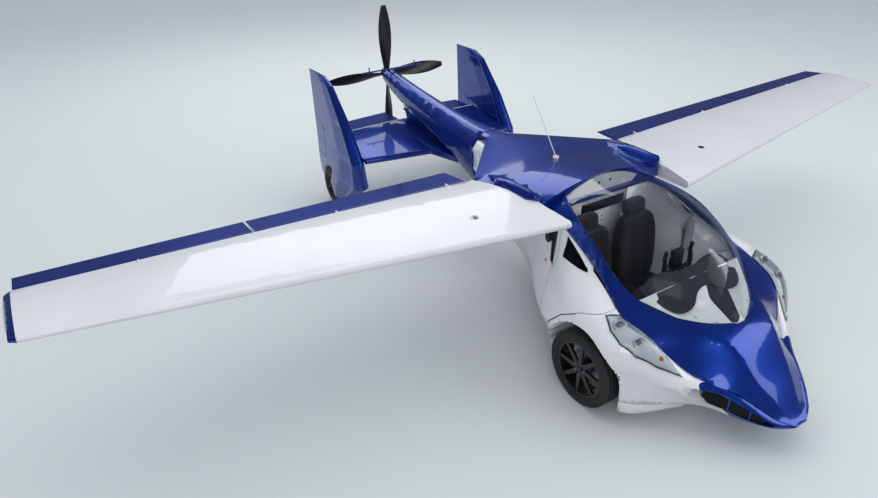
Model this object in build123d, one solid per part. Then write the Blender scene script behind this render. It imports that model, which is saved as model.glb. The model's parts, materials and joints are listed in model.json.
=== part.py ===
from build123d import *
import math
import os

# Two-seat flying car, millimetres.  X forward, Y left, Z up, ground at Z = 0.
os.makedirs("parts", exist_ok=True)

# driving sizes
NOSE_X = 2890.0
TAIL_X = -2890.0
HALF_SPAN = 4160.0

FRONT_AXLE_X = 1750.0
FRONT_TRACK_Y = 848.0
FRONT_TYRE_R = 295.0
FRONT_TYRE_W = 160.0
FRONT_RIM_R = 216.0
KINGPIN_Y = 796.0
ARCH_X = 1748.0
ARCH_Z = 330.0
ARCH_R = 336.0

REAR_AXLE_X = -2300.0
REAR_TRACK_Y = 985.0
REAR_TYRE_R = 215.0
REAR_TYRE_W = 100.0

WALL = 38.0
# Between these stations the panel under the glass edge runs on this far inwards.
GLASS_REAR, GLASS_FRONT, EDGE_RUN = 900, 2200, 14
GLASS = 8.0
GAP = 2.5

HUB_X = -2760.0
HUB_Z = 1252.0
PROP_R = 780.0

# Body sections, one row per station: x, bonnet crown height, then the half width
# and height of the glass line, the shoulder, the flank, the widest line and the sill.
COLUMNS = ("x", "crown", "wg", "zg", "ws", "zs", "wf", "zf", "ww", "zw", "wb", "zb")
BODY = [
    (2890, 232, 25, 230, 50, 221, 60, 215, 66, 206, 50, 186),
    (2820, 274, 70, 270, 135, 256, 170, 250, 190, 236, 168, 196),
    (2700, 394, 125, 384, 235, 335, 280, 322, 305, 275, 255, 200),
    (2550, 540, 180, 526, 335, 410, 375, 396, 400, 335, 328, 200),
    (2380, 686, 240, 668, 455, 452, 525, 452, 570, 385, 425, 188),
    (2240, 722, 310, 706, 572, 568, 660, 560, 715, 440, 640, 142),
    (2080, 752, 385, 738, 675, 695, 800, 668, 868, 480, 842, 122),
    (1850, 850, 541, 820, 700, 768, 865, 735, 948, 505, 925, 122),
    (1600, 1020, 590, 978, 640, 885, 825, 800, 958, 510, 925, 124),
    (1300, 1180, 550, 1122, 600, 1008, 745, 835, 900, 510, 760, 140),
    (950, 1280, 425, 1198, 565, 1112, 640, 900, 705, 550, 560, 168),
    (450, 1170, 330, 1150, 490, 1098, 492, 880, 465, 650, 305, 238),
    (-50, 1150, 200, 1135, 355, 1080, 372, 900, 350, 720, 210, 370),
    (-500, 1162, 90, 1150, 222, 1058, 234, 930, 228, 800, 152, 575),
    (-760, 1166, 70, 1158, 180, 1050, 190, 940, 186, 820, 130, 690),
]

# Glass dome over the cabin, one row per station: x, half width, height at the edge, crown.
DOME = [
    (2330, 40, 700, 716), (2280, 132, 706, 760), (2200, 258, 722, 872), (2080, 385, 740, 1015),
    (1850, 541, 822, 1165), (1600, 590, 980, 1246), (1300, 550, 1124, 1290), (950, 425, 1200, 1293),
    (860, 380, 1214, 1290),
]

# Door outline below the shoulder, side view (x, z), top rear corner first.
DOOR_REAR = [(1100, 1200), (1100, 1030), (1200, 880), (1190, 780), (1225, 650), (1240, 330)]
DOOR_FRONT = [(1370, 330), (1385, 480), (1530, 640), (1690, 735), (1820, 770), (1820, 1200)]
WINDOW = [(1185, 1030), (1235, 900), (1500, 900)]


def v(p):
    return Vector(*p)


def polygon(points):
    """Flat face through 3-D points."""
    return Face(Wire.make_polygon([v(p) for p in points], close=True))


def prism_y(points, y0, y1):
    face = polygon([(x, y0, z) for x, z in points])
    return Solid.extrude(face, Vector(0, y1 - y0, 0))


def prism_z(points, z0, z1):
    face = polygon([(x, y, z0) for x, y in points])
    return Solid.extrude(face, Vector(0, 0, z1 - z0))


def prism_x(points, x0, x1):
    face = polygon([(x0, y, z) for y, z in points])
    return Solid.extrude(face, Vector(x1 - x0, 0, 0))


def box(x0, x1, y0, y1, z0, z1):
    return Solid.make_box(x1 - x0, y1 - y0, z1 - z0, Plane(origin=(x0, y0, z0)))


def rod(p, q, radius):
    a, b = v(p), v(q)
    return Solid.make_cylinder(radius, (b - a).length, Plane(origin=a, z_dir=(b - a)))


def ring_y(cx, cz, y0, y1, r_out, r_in):
    outer = rod((cx, y0, cz), (cx, y1, cz), r_out)
    return outer - rod((cx, y0 - 5, cz), (cx, y1 + 5, cz), r_in)


def one(shape):
    """The single largest solid of a boolean result."""
    solids = shape.solids() if hasattr(shape, "solids") else [shape]
    return sorted(solids, key=lambda s: s.volume)[-1]


def mirror_y(shape):
    return shape.mirror(Plane.XZ)


# body sections
def body_points(row, t):
    """Left half of a section, glass line to sill, moved inwards by t."""
    s = dict(zip(COLUMNS, row))
    run, rise = s["ws"] - s["wg"], s["zg"] - s["zs"]
    k = EDGE_RUN / math.hypot(run, rise) if GLASS_REAR < s["x"] < GLASS_FRONT else 0
    points = [
        (s["wg"] - k * run - 0.5 * t, s["zg"] + k * rise - 0.9 * t),
        (s["ws"] - 0.8 * t, s["zs"] - 0.6 * t),
        (s["wf"] - 0.9 * t, s["zf"] - 0.5 * t),
        (s["ww"] - t, s["zw"]),
        (s["wb"] - 0.9 * t, s["zb"] + t),
    ]
    return [(s["x"], y, z) for y, z in points], (s["x"], 0, s["crown"] - t)


def opposite(points):
    return [(x, -y, z) for x, y, z in points]


def arc(a, b, c):
    return Edge.make_three_point_arc(v(a), v(b), v(c))


def line(a, b):
    return Edge.make_line(v(a), v(b))


def whole_wire(row, t=0):
    """Closed section of the whole body."""
    p, crown = body_points(row, t)
    q = opposite(p)
    return Wire([
        arc(q[0], crown, p[0]), line(p[0], p[1]), arc(p[1], p[2], p[3]), line(p[3], p[4]),
        line(p[4], q[4]), line(q[4], q[3]), arc(q[3], q[2], q[1]), line(q[1], q[0]),
    ])


def upper_wire(row, t=0):
    """Section of the blue upper body, down to the shoulder."""
    p, crown = body_points(row, t)
    q = opposite(p)
    return Wire([arc(q[0], crown, p[0]), line(p[0], p[1]), line(p[1], q[1]), line(q[1], q[0])])


def lower_wire(row, drop):
    """Section of the white lower body, from a drop below the shoulder."""
    p, crown = body_points(row, 0)
    top = (p[1][0], p[1][1], p[1][2] - drop)
    mid = (p[2][0], p[2][1], p[2][2] - drop / 2)
    q = opposite(p)
    return Wire([
        line((top[0], -top[1], top[2]), top), arc(top, mid, p[3]), line(p[3], p[4]),
        line(p[4], q[4]), line(q[4], q[3]), arc(q[3], (mid[0], -mid[1], mid[2]), (top[0], -top[1], top[2])),
    ])


def dome_wire(row, t=0.0):
    """Arched section of the glass dome, closed flat at the glass edge."""
    x, half, edge, crown = row
    a, b = (x, half - t, edge), (x, -half + t, edge)
    return Wire([arc(b, (x, 0, crown - t), a), line(a, b)])


def plug_wire(row, rise=6, depth=60):
    """Section of the opening under the glass: splayed edges that meet the frame squarely."""
    x, half, edge, crown = row
    d = min(depth, half / 2)
    a, c = (x, half + rise, edge + rise), (x, half - d, edge - d)
    b, e = (x, -half - rise, edge + rise), (x, -half + d, edge - d)
    return Wire([arc(b, (x, 0, crown + rise), a), line(a, c), line(c, e), line(e, b)])


def rows_between(table, x_min, x_max):
    return [r for r in table if x_min <= r[0] <= x_max]


def body_loft(t, x_min=-9999, x_max=9999):
    return Solid.make_loft([whole_wire(r, t) for r in rows_between(BODY, x_min, x_max)], ruled=False)


outer = body_loft(0)
upper = Solid.make_loft([upper_wire(r) for r in BODY], ruled=False)
lower_full = Solid.make_loft([lower_wire(r, 4.0) for r in BODY], ruled=False)
lower_door = Solid.make_loft([lower_wire(r, 9.0) for r in BODY], ruled=False)
dome_outer = Solid.make_loft([dome_wire(r, GAP / 2) for r in DOME], ruled=False)
dome_inner = Solid.make_loft([dome_wire((r[0], r[1], r[2] - 3, r[3]), GAP / 2 + GLASS) for r in DOME], ruled=False)
glass_plug = Solid.make_loft([plug_wire(r) for r in DOME], ruled=False)

# Cabin space: inside the body, narrowed low down to clear the wheel wells.
front_cabin = Solid.make_loft([whole_wire(r, WALL) for r in rows_between(BODY, 950, 2240)], ruled=False)
tub_limit = prism_z([(850, -530), (850, 530), (1250, 700), (1370, 620), (1420, 560),
                     (2060, 520), (2060, -520), (1420, -560), (1370, -620), (1250, -700)], 0, 1500)
room_line = [(903, 1060), (1300, 900), (1600, 780), (1850, 700), (2060, 660)]
upper_room = prism_y(room_line + [(2060, 1500), (903, 1500)], -1200, 1200)
cavity_core = one(front_cabin & box(903, 2060, -1100, 1100, 0, 1500))
cavity = one((cavity_core & tub_limit) + (cavity_core & upper_room & box(903, 2060, -690, 690, 0, 1500)))

well = rod((ARCH_X, 640, ARCH_Z), (ARCH_X, 1300, ARCH_Z), ARCH_R)
well = well + box(ARCH_X - ARCH_R, ARCH_X + ARCH_R, 640, 1300, 0, ARCH_Z)
wells = [well, mirror_y(well)]

# Air intakes low in the nose, one each side, with room for the vanes.
intake = prism_y([(2365, 425), (2550, 392), (2700, 318), (2815, 246), (2815, 226),
                  (2700, 240), (2550, 258), (2440, 272), (2370, 330)], 130, 900)
intakes = [intake, mirror_y(intake)]

# windscreen
windscreen = one((dome_outer & box(903, 2500, -900, 900, 600, 1500)) - dome_inner)

nose_and_frame = upper & box(905, 3000, -1300, 1300, 0, 1500)
for cut in [cavity, glass_plug] + wells + intakes:
    nose_and_frame = nose_and_frame - cut
nose_and_frame = one(nose_and_frame)

lower = lower_full & box(905, 3000, -1300, 1300, 0, 1500)
door_blank = lower_door & box(905, 3000, -1300, 1300, 0, 1500)
for cut in [cavity] + wells:
    lower = lower - cut
    door_blank = door_blank - cut
for cut in intakes:
    lower = lower - cut
lower = lower - upper

# Flat seat for the roof deck behind the cabin.
outer = one(outer - box(-900, 905, -900, 900, 1098, 1500))

# doors
door_cut = prism_y(DOOR_REAR + DOOR_FRONT, 300, 1300)
inner_door = [(x + (22 if z > 1000 else 6), z + (6 if z < 400 else 0)) for x, z in DOOR_REAR]
inner_door += [(x - 6, z + 6) for x, z in DOOR_FRONT]
door_take = prism_y(inner_door, 300, 1300)
door_solid = one(door_blank & door_take)
# Forward of the window the door keeps only what swings clear of the wheel housing.
door_solid = one(door_solid - prism_z([(1400, 300), (1430, 560), (1520, 640), (1840, 688), (1840, 300)], 300, 1300))
window_hole = prism_y(WINDOW, 300, 1300)
wx = sum(p[0] for p in WINDOW) / 3.0
wz = sum(p[1] for p in WINDOW) / 3.0
pane_outline = [(wx + (x - wx) * 0.995, wz + (z - wz) * 0.995) for x, z in WINDOW]
pane_zone = prism_y(pane_outline, 300, 1300)
pane_outer = body_loft(8, 450, 2540)
pane_inner = body_loft(16, 450, 2540)
door_left = one(door_solid - window_hole)
pane_left = one((pane_outer & pane_zone) - pane_inner)
door_right = mirror_y(door_left)
pane_right = mirror_y(pane_left)
lower = one((lower - door_cut) - mirror_y(door_cut))

# lower panels
SEAM_FLOOR = 215
RIB_Y = 250
POST_X = 1375
floor_pan = one(lower & box(905, 2330, -1300, 1300, 0, SEAM_FLOOR - GAP))
for px in (1050, 2200):
    for py in (-420, 420):
        floor_pan = floor_pan + rod((px, py, 108), (px, py, 160), 40)
floor_pan = one(floor_pan)
sides = lower & box(905, 3000, -1300, 1300, SEAM_FLOOR, 1500)
side_post_left = one(sides & box(905, POST_X - GAP, RIB_Y, 1300, 0, 1500))
fender_left = one(sides & box(POST_X, 3000, RIB_Y, 1300, 0, 1500))
nose_keel = one(sides & box(1500, 3000, -RIB_Y + GAP, RIB_Y - GAP, 0, 1500))

# Rear body: a thin shell open at the front, closed there by the bulkhead.
REAR_END = -640
rear_cut = box(REAR_END, 905 - GAP, -1300, 1300, 0, 1500)
rear_inner = body_loft(16, -500, 1300)
bulkhead = one(outer & box(862, 902 - GAP, -1300, 1300, 0, 1500))
rear_body = one((outer & rear_cut) - rear_inner)
bulkhead = one(bulkhead & body_loft(17, -500, 1300))

# Roof deck over the wing joint, one row per station: x, half width, edge, crown.
DECK = [
    (902, 650, 1160, 1290), (350, 780, 1186, 1216), (268, 818, 1186, 1210),
    (-500, 140, 1160, 1178), (-636, 120, 1150, 1170),
]


def deck_wire(x, half, edge, crown):
    pts = [(x, -half, 1101), (x, -half, edge), (x, half, edge), (x, half, 1101)]
    return Wire([
        Edge.make_line(v(pts[0]), v(pts[1])),
        Edge.make_three_point_arc(v(pts[1]), v((x, 0, crown)), v(pts[2])),
        Edge.make_line(v(pts[2]), v(pts[3])),
        Edge.make_line(v(pts[3]), v(pts[0])),
    ])


deck = Solid.make_loft([deck_wire(*row) for row in DECK], ruled=True)


def blister_at(y):
    """Long low fairing over the wing joint: plan, side and end outlines crossed."""
    plan = prism_z([(902, y - 62), (820, y - 84), (640, y - 88), (460, y - 62), (280, y - 10),
                    (280, y + 12), (460, y + 44), (640, y + 62), (820, y + 50), (902, y - 22)], 1150, 1300)
    side = prism_y([(902, 1150), (902, 1250), (800, 1262), (640, 1262), (460, 1244), (280, 1206), (280, 1150)],
                   y - 200, y + 200)
    end = prism_x([(y - 100, 1150), (y - 88, 1190), (y - 66, 1228), (y - 34, 1252), (y, 1264),
                   (y + 26, 1252), (y + 46, 1228), (y + 62, 1190), (y + 72, 1150)], 200, 950)
    return one((plan & side) & end)


blister = blister_at(672)
deck = one(deck + blister)
deck = one(deck + mirror_y(blister))

# Tail boom, same section form as the body.
BOOM = [
    (REAR_END - GAP, 1172, 80, 1164, 200, 1056, 210, 935, 206, 806, 142, 628),
    (-1560, 1192, 60, 1186, 150, 1110, 158, 1040, 155, 965, 100, 862),
    (-2300, 1268, 40, 1263, 115, 1210, 120, 1160, 116, 1112, 80, 1040),
    (-2705, 1318, 30, 1314, 85, 1280, 90, 1250, 86, 1212, 60, 1168),
]
boom = Solid.make_loft([whole_wire(r) for r in BOOM], ruled=False)
shaft = rod((-2690, 0, HUB_Z), (-2760, 0, HUB_Z), 15)
boom = one(boom + shaft)
crossbar_y = 390
crossbar = rod((-2620, -crossbar_y, 1338), (-2620, crossbar_y, 1338), 9)
for y in (-300, 300):
    crossbar = crossbar + rod((-2620, y, 1338), (-2620, y, 1395), 7)
crossbar = one(crossbar)
crossbar = one(crossbar - boom)

# Tailplane between the fins.
TAIL = [(-915, -1552, 730), (-580, -1470, 738), (-215, -1390, 745), (-105, -1010, 748),
        (105, -1010, 748), (215, -1390, 745), (580, -1470, 738), (915, -1552, 730)]
TAIL_HINGE_X = -2262


def tail_wire(y, x_front, z, x_rear=TAIL_HINGE_X, half=32):
    zr = z + 62
    pts = [(x_rear, y, zr + half), (x_rear, y, zr - half), (x_front - 60, y, z - 20),
           (x_front, y, z), (x_front - 60, y, z + 22)]
    return Wire([
        Edge.make_line(v(pts[0]), v(pts[1])),
        Edge.make_line(v(pts[1]), v(pts[2])),
        Edge.make_three_point_arc(v(pts[2]), v(pts[3]), v(pts[4])),
        Edge.make_line(v(pts[4]), v(pts[0])),
    ])


tailplane = Solid.make_loft([tail_wire(y, x, z) for y, x, z in TAIL], ruled=True)


def control(y0, x0, z0, r0, te0, tz0, y1, x1, z1, r1, te1, tz1):
    """Flap-like surface: round nose about its own hinge line, thin trailing edge."""
    wires = []
    for y, x, z, r, te, tz in ((y0, x0, z0, r0, te0, tz0), (y1, x1, z1, r1, te1, tz1)):
        a = (x, y, z + r)
        b = (x + r, y, z)
        c = (x, y, z - r)
        wires.append(Wire([
            Edge.make_three_point_arc(v(c), v(b), v(a)),
            Edge.make_line(v(a), v((te, y, tz + 3))),
            Edge.make_line(v((te, y, tz + 3)), v((te, y, tz - 3))),
            Edge.make_line(v((te, y, tz - 3)), v(c)),
        ]))
    return Solid.make_loft(wires, ruled=True)


ELEV_R = 28
ELEV_X = TAIL_HINGE_X - 6 - ELEV_R
tailplane = one(tailplane - boom)
elevator_left = control(120, ELEV_X, 810, ELEV_R, -2620, 826, 880, ELEV_X, 793, ELEV_R, -2600, 808)
tail_pylon = prism_y([(-1040, 800), (-1500, 800), (-2250, 850), (-2350, 1070), (-1560, 900), (-1100, 840)], -32, 32)
tail_pylon = one(tail_pylon - boom)
tail_pylon = one(tail_pylon - tailplane)

# Fins, one row per height: z, leading edge, trailing edge, thickness.
FIN_Y = 985
FIN = [
    (140, -1900, -2520, 150), (260, -1760, -2660, 176), (440, -1520, -2700, 170),
    (700, -1570, -2690, 110), (1040, -1810, -2700, 80), (1400, -2160, -2715, 50), (1470, -2330, -2722, 30),
]


def fin_wire(z, lead, trail, thick):
    c = lead - trail
    crest = lead - 0.38 * c
    h = thick / 2.0
    left = (crest, FIN_Y + h, z)
    right = (crest, FIN_Y - h, z)
    mid_l = (lead - 0.12 * c, FIN_Y + 0.8 * h, z)
    mid_r = (lead - 0.12 * c, FIN_Y - 0.8 * h, z)
    end_l = (trail, FIN_Y + 4, z)
    end_r = (trail, FIN_Y - 4, z)
    return Wire([
        Edge.make_three_point_arc(v(mid_r), v((lead, FIN_Y, z)), v(mid_l)),
        Edge.make_line(v(mid_l), v(left)),
        Edge.make_line(v(left), v(end_l)),
        Edge.make_line(v(end_l), v(end_r)),
        Edge.make_line(v(end_r), v(right)),
        Edge.make_line(v(right), v(mid_r)),
    ])


fin_full = Solid.make_loft([fin_wire(*row) for row in FIN], ruled=True)
RUD_X = -2440
RUD_R = 36
rudder_zone = prism_y([(RUD_X + RUD_R + 40, 520), (-2800, 520), (-2800, 1040), (RUD_X - 40, 880), (RUD_X + RUD_R + 40, 840)], 800, 1200)
rudder_shape = (box(-2800, RUD_X, 800, 1200, 500, 1060) + rod((RUD_X, FIN_Y, 500), (RUD_X, FIN_Y, 1060), RUD_R))
rudder_left = one(fin_full & prism_y([(RUD_X + 60, 526), (-2800, 526), (-2800, 1034), (RUD_X - 40, 874), (RUD_X + 60, 834)], 800, 1200) & rudder_shape)
rudder_hole = (box(-2800, RUD_X, 800, 1200, 500, 1060) + rod((RUD_X, FIN_Y, 500), (RUD_X, FIN_Y, 1060), RUD_R + 6)) & rudder_zone
fin_left = one(fin_full - rudder_hole)
slot = box(-2300 - 240, -2300 + 240, REAR_TRACK_Y - 58, REAR_TRACK_Y + 58, -10, REAR_TYRE_R) \
    + rod((REAR_AXLE_X, REAR_TRACK_Y - 58, REAR_TYRE_R), (REAR_AXLE_X, REAR_TRACK_Y + 58, REAR_TYRE_R), 240)
fin_left = one(fin_left - slot)
axle_left = rod((REAR_AXLE_X, REAR_TRACK_Y - 78, REAR_TYRE_R), (REAR_AXLE_X, REAR_TRACK_Y + 78, REAR_TYRE_R), 10)
fin_left = one(fin_left - axle_left)
tailplane = one((tailplane - fin_full) - mirror_y(fin_full))

# Wings: x of nose, hinge and trailing edge, height and thickness at two ribs.
ROOT = dict(y=560, lead=1252, hinge=255, trail=-84, z=1136, up=72, low=52)
TIP = dict(y=4118, lead=744, hinge=200, trail=-6, z=1250, up=40, low=28)


def rib(r, y=None):
    y = r["y"] if y is None else y
    x0, x1, z = r["lead"], r["hinge"], r["z"]
    c = x0 - r["trail"]
    n_up = (x0 - 0.03 * c, y, z + 0.55 * r["up"])
    n_lo = (x0 - 0.03 * c, y, z - 0.55 * r["low"])
    h_up = (x1, y, z + 0.62 * r["up"])
    h_lo = (x1, y, z - 0.50 * r["low"])
    return Wire([
        Edge.make_three_point_arc(v(n_lo), v((x0, y, z)), v(n_up)),
        Edge.make_three_point_arc(v(n_up), v((x0 - 0.33 * c, y, z + r["up"])), v(h_up)),
        Edge.make_line(v(h_up), v(h_lo)),
        Edge.make_three_point_arc(v(h_lo), v((x0 - 0.33 * c, y, z - r["low"])), v(n_lo)),
    ])


def between(y):
    """Rib data at a span station."""
    k = (y - ROOT["y"]) / (TIP["y"] - ROOT["y"])
    return {key: ROOT[key] + k * (TIP[key] - ROOT[key]) for key in ROOT}


wing_full = Solid.make_loft([rib(ROOT), rib(TIP)], ruled=True)
inboard = prism_z([(1400, 0), (1400, 600), (992, 656), (908, 655), (350, 785), (268, 823), (-200, 870), (-200, 0)], 900, 1400)
wing_left = one(wing_full - inboard)
deck = one((deck - wing_left) - mirror_y(wing_left))
# Tie-down eye under the spar.
TIE_X, TIE_Y, TIE_Z = 620, 2400, 1128
eye = box(TIE_X - 6, TIE_X + 6, TIE_Y - 22, TIE_Y + 22, TIE_Z, TIE_Z + 60) + rod((TIE_X - 6, TIE_Y, TIE_Z), (TIE_X + 6, TIE_Y, TIE_Z), 22)
wing_left = one((wing_left + eye) - rod((TIE_X - 20, TIE_Y, TIE_Z), (TIE_X + 20, TIE_Y, TIE_Z), 11))


def wing_control(y0, y1):
    rows = []
    for y in (y0, y1):
        r = between(y)
        radius = 0.40 * (0.62 * r["up"] + 0.50 * r["low"])
        zc = r["z"] + (0.62 * r["up"] - 0.50 * r["low"]) / 2.0
        rows += [y, r["hinge"] - 7 - radius, zc, radius, r["trail"], r["z"] - 4]
    return control(*rows), rows


flap_left, flap_rows = wing_control(884, 2624)
aileron_left, aileron_rows = wing_control(2644, 4108)
tip_left = Solid.make_loft([rib(TIP, 4120), rib(dict(TIP, lead=720, hinge=220, up=18, low=12), HALF_SPAN)], ruled=True)

# Propeller: hub with pointed spinner and four twisted blades.
hub = rod((-2713, 0, HUB_Z), (-2806, 0, HUB_Z), 58)
hub = hub + Solid.make_cone(58, 10, -2806 - TAIL_X, Plane(origin=(-2806, 0, HUB_Z), z_dir=(-1, 0, 0)))
BLADE = [(40, 66, 28, 50), (170, 104, 22, 42), (400, 146, 15, 28), (600, 128, 10, 21), (PROP_R, 52, 5, 17)]


def blade_wire(r, chord, thick, twist):
    a = math.radians(twist)
    dx, dy = math.sin(a), math.cos(a)
    nx, ny = math.cos(a), -math.sin(a)
    p = (HUB_X + dx * chord / 2, dy * chord / 2, HUB_Z + r)
    q = (HUB_X - dx * chord / 2, -dy * chord / 2, HUB_Z + r)
    m = (HUB_X + nx * thick / 2, ny * thick / 2, HUB_Z + r)
    n = (HUB_X - nx * thick / 2, -ny * thick / 2, HUB_Z + r)
    return Wire([Edge.make_three_point_arc(v(p), v(m), v(q)), Edge.make_three_point_arc(v(q), v(n), v(p))])


blade = Solid.make_loft([blade_wire(*row) for row in BLADE], ruled=False)
prop_axis = Axis((HUB_X, 0, HUB_Z), (1, 0, 0))
propeller = hub
for k in range(4):
    propeller = propeller + blade.rotate(prop_axis, 90.0 * k)
propeller = propeller - rod((-2700, 0, HUB_Z), (-2765, 0, HUB_Z), 15.05)
propeller = one(propeller)


# Wheels
def wheel_ring(points, y):
    """Turned part about the wheel axis from (radius, offset) points."""
    face = polygon([(0, o + y, r) for r, o in points])
    return Solid.revolve(face, 360, Axis((0, 0, 0), (0, 1, 0)))


def move(shape, x, z):
    return shape.moved(Location((x, 0, z)))


w = FRONT_TYRE_W / 2
tyre = wheel_ring([(FRONT_RIM_R, -w + 8), (FRONT_RIM_R + 20, -w), (FRONT_TYRE_R - 18, -w), (FRONT_TYRE_R, -w + 16),
                   (FRONT_TYRE_R, w - 16), (FRONT_TYRE_R - 18, w), (FRONT_RIM_R + 20, w), (FRONT_RIM_R, w - 8)], FRONT_TRACK_Y)
barrel = wheel_ring([(FRONT_RIM_R - 16, -w + 10), (FRONT_RIM_R, -w + 10), (FRONT_RIM_R, w - 10), (FRONT_RIM_R - 16, w - 10)], FRONT_TRACK_Y)
boss = wheel_ring([(20.05, -20), (52, -20), (60, 58), (0, 58), (0, 40), (20.05, 40)], FRONT_TRACK_Y)
disc = wheel_ring([(45, -28), (135, -28), (135, -20), (45, -20)], FRONT_TRACK_Y)
rim = barrel + boss + disc
spoke = prism_y([(-20, 45), (-11, 210), (11, 210), (20, 45)], FRONT_TRACK_Y + 40, FRONT_TRACK_Y + 62)
for k in range(8):
    rim = rim + spoke.rotate(Axis((0, 0, 0), (0, 1, 0)), 45.0 * k)
rim = one(rim - wheel_ring([(0, -60), (20.05, -60), (20.05, 40), (0, 40)], FRONT_TRACK_Y))
front_tyre_left = move(tyre, FRONT_AXLE_X, FRONT_TYRE_R)
front_rim_left = move(rim, FRONT_AXLE_X, FRONT_TYRE_R)

rw = REAR_TYRE_W / 2
rear_tyre = wheel_ring([(130, -rw + 8), (150, -rw), (REAR_TYRE_R - 12, -rw), (REAR_TYRE_R, -rw + 14),
                        (REAR_TYRE_R, rw - 14), (REAR_TYRE_R - 12, rw), (150, rw), (130, rw - 8)], REAR_TRACK_Y)
rear_rim = wheel_ring([(10.05, -34), (32, -34), (40, -8), (116, -8), (116, -40), (130, -40),
                       (130, 40), (116, 40), (116, 8), (40, 8), (32, 34), (10.05, 34)], REAR_TRACK_Y)
rear_tyre_left = move(rear_tyre, REAR_AXLE_X, REAR_TYRE_R)
rear_rim_left = move(rear_rim, REAR_AXLE_X, REAR_TYRE_R)

# Knuckle with stub axle and kingpin ends; two arms from the body.
AX, AZ = FRONT_AXLE_X, FRONT_TYRE_R
knuckle = box(AX - 28, AX + 28, KINGPIN_Y - 23, KINGPIN_Y + 13, AZ - 90, AZ + 90)
knuckle = knuckle + rod((AX, KINGPIN_Y + 10, AZ), (AX, FRONT_TRACK_Y + 37, AZ), 20)
knuckle = knuckle + rod((AX, KINGPIN_Y - 5, AZ - 122), (AX, KINGPIN_Y - 5, AZ + 122), 11)
knuckle_left = one(knuckle)


def arm(z):
    bar = box(AX - 20, AX + 20, 641, KINGPIN_Y - 5, z - 9, z + 9)
    bar = bar + rod((AX, KINGPIN_Y - 5, z - 9), (AX, KINGPIN_Y - 5, z + 9), 24)
    return one(bar - rod((AX, KINGPIN_Y - 5, z - 30), (AX, KINGPIN_Y - 5, z + 30), 11.05))


upper_arm_left = arm(AZ + 105)
lower_arm_left = arm(AZ - 105)

# Cabin
def seat(y):
    back = prism_y([(1010, 300), (1130, 300), (1060, 900), (1045, 1040), (985, 1040), (985, 900)], y - 215, y + 215)
    base = prism_y([(1010, 232), (1530, 232), (1560, 330), (1540, 372), (1100, 322), (1010, 322)], y - 225, y + 225)
    return one(back + base)


seat_left = seat(255)
dash = prism_y([(1700, 720), (1760, 820), (1980, 770), (2050, 690), (2020, 560), (1900, 600)], -430, 430)
dash = one(dash & body_loft(WALL + 6, 950, 2380))
column = rod((1560, 260, 640), (1760, 260, 700), 16)
yoke = column + box(1540, 1560, 120, 400, 628, 652) + box(1530, 1556, 100, 128, 600, 720) + box(1530, 1556, 392, 420, 600, 720)
yoke = one(yoke - dash)
engine = box(180, 760, -220, 220, 420, 900)
antenna = rod((332, 0, 1216), (332, 0, 1236), 26) + rod((330, 0, 1230), (-20, 0, 1680), 4)
antenna = one(antenna - deck)

parts = {
    "nose_and_canopy_frame": nose_and_frame, "windscreen": windscreen, "floor_pan": floor_pan,
    "nose_keel": nose_keel, "side_post_left": side_post_left, "side_post_right": mirror_y(side_post_left),
    "fender_left": fender_left, "fender_right": mirror_y(fender_left), "rear_body": rear_body,
    "bulkhead": bulkhead, "roof_deck": deck, "door_left": door_left, "door_right": door_right,
    "door_window_left": pane_left, "door_window_right": pane_right, "tail_boom": boom,
    "tail_pylon": tail_pylon, "crossbar": crossbar, "tailplane": tailplane,
    "elevator_left": elevator_left, "elevator_right": mirror_y(elevator_left),
    "fin_left": fin_left, "fin_right": mirror_y(fin_left),
    "rudder_left": rudder_left, "rudder_right": mirror_y(rudder_left),
    "rear_axle_left": axle_left, "rear_axle_right": mirror_y(axle_left),
    "rear_tyre_left": rear_tyre_left, "rear_tyre_right": mirror_y(rear_tyre_left),
    "rear_rim_left": rear_rim_left, "rear_rim_right": mirror_y(rear_rim_left),
    "front_tyre_left": front_tyre_left, "front_tyre_right": mirror_y(front_tyre_left),
    "front_rim_left": front_rim_left, "front_rim_right": mirror_y(front_rim_left),
    "knuckle_left": knuckle_left, "knuckle_right": mirror_y(knuckle_left),
    "upper_arm_left": upper_arm_left, "upper_arm_right": mirror_y(upper_arm_left),
    "lower_arm_left": lower_arm_left, "lower_arm_right": mirror_y(lower_arm_left),
    "wing_left": wing_left, "wing_right": mirror_y(wing_left),
    "flap_left": flap_left, "flap_right": mirror_y(flap_left),
    "aileron_left": aileron_left, "aileron_right": mirror_y(aileron_left),
    "tip_cap_left": tip_left, "tip_cap_right": mirror_y(tip_left),
    "propeller": propeller, "seat_left": seat_left, "seat_right": mirror_y(seat_left),
    "dashboard": dash, "yoke": yoke, "engine": engine, "antenna": antenna,
}
for name, shape in parts.items():
    b = shape.bounding_box()
    print(name, shape.is_valid, round(shape.volume / 1e3), [round(t) for t in (b.min.X, b.max.X, b.min.Y, b.max.Y, b.min.Z, b.max.Z)])
    export_step(shape, "parts/" + name + ".step")
print("FLAP", flap_rows, "AIL", aileron_rows)
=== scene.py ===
"""Looks for a two-seat flying car: paint, glass, cabin, lamps, wheels and small fittings."""

import json
import logging
import math
from dataclasses import dataclass, field
from enum import Enum
from typing import Callable, Iterable, Optional, Sequence

import bmesh
import bpy
from mathutils import Matrix, Vector
from mathutils.bvhtree import BVHTree

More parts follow.
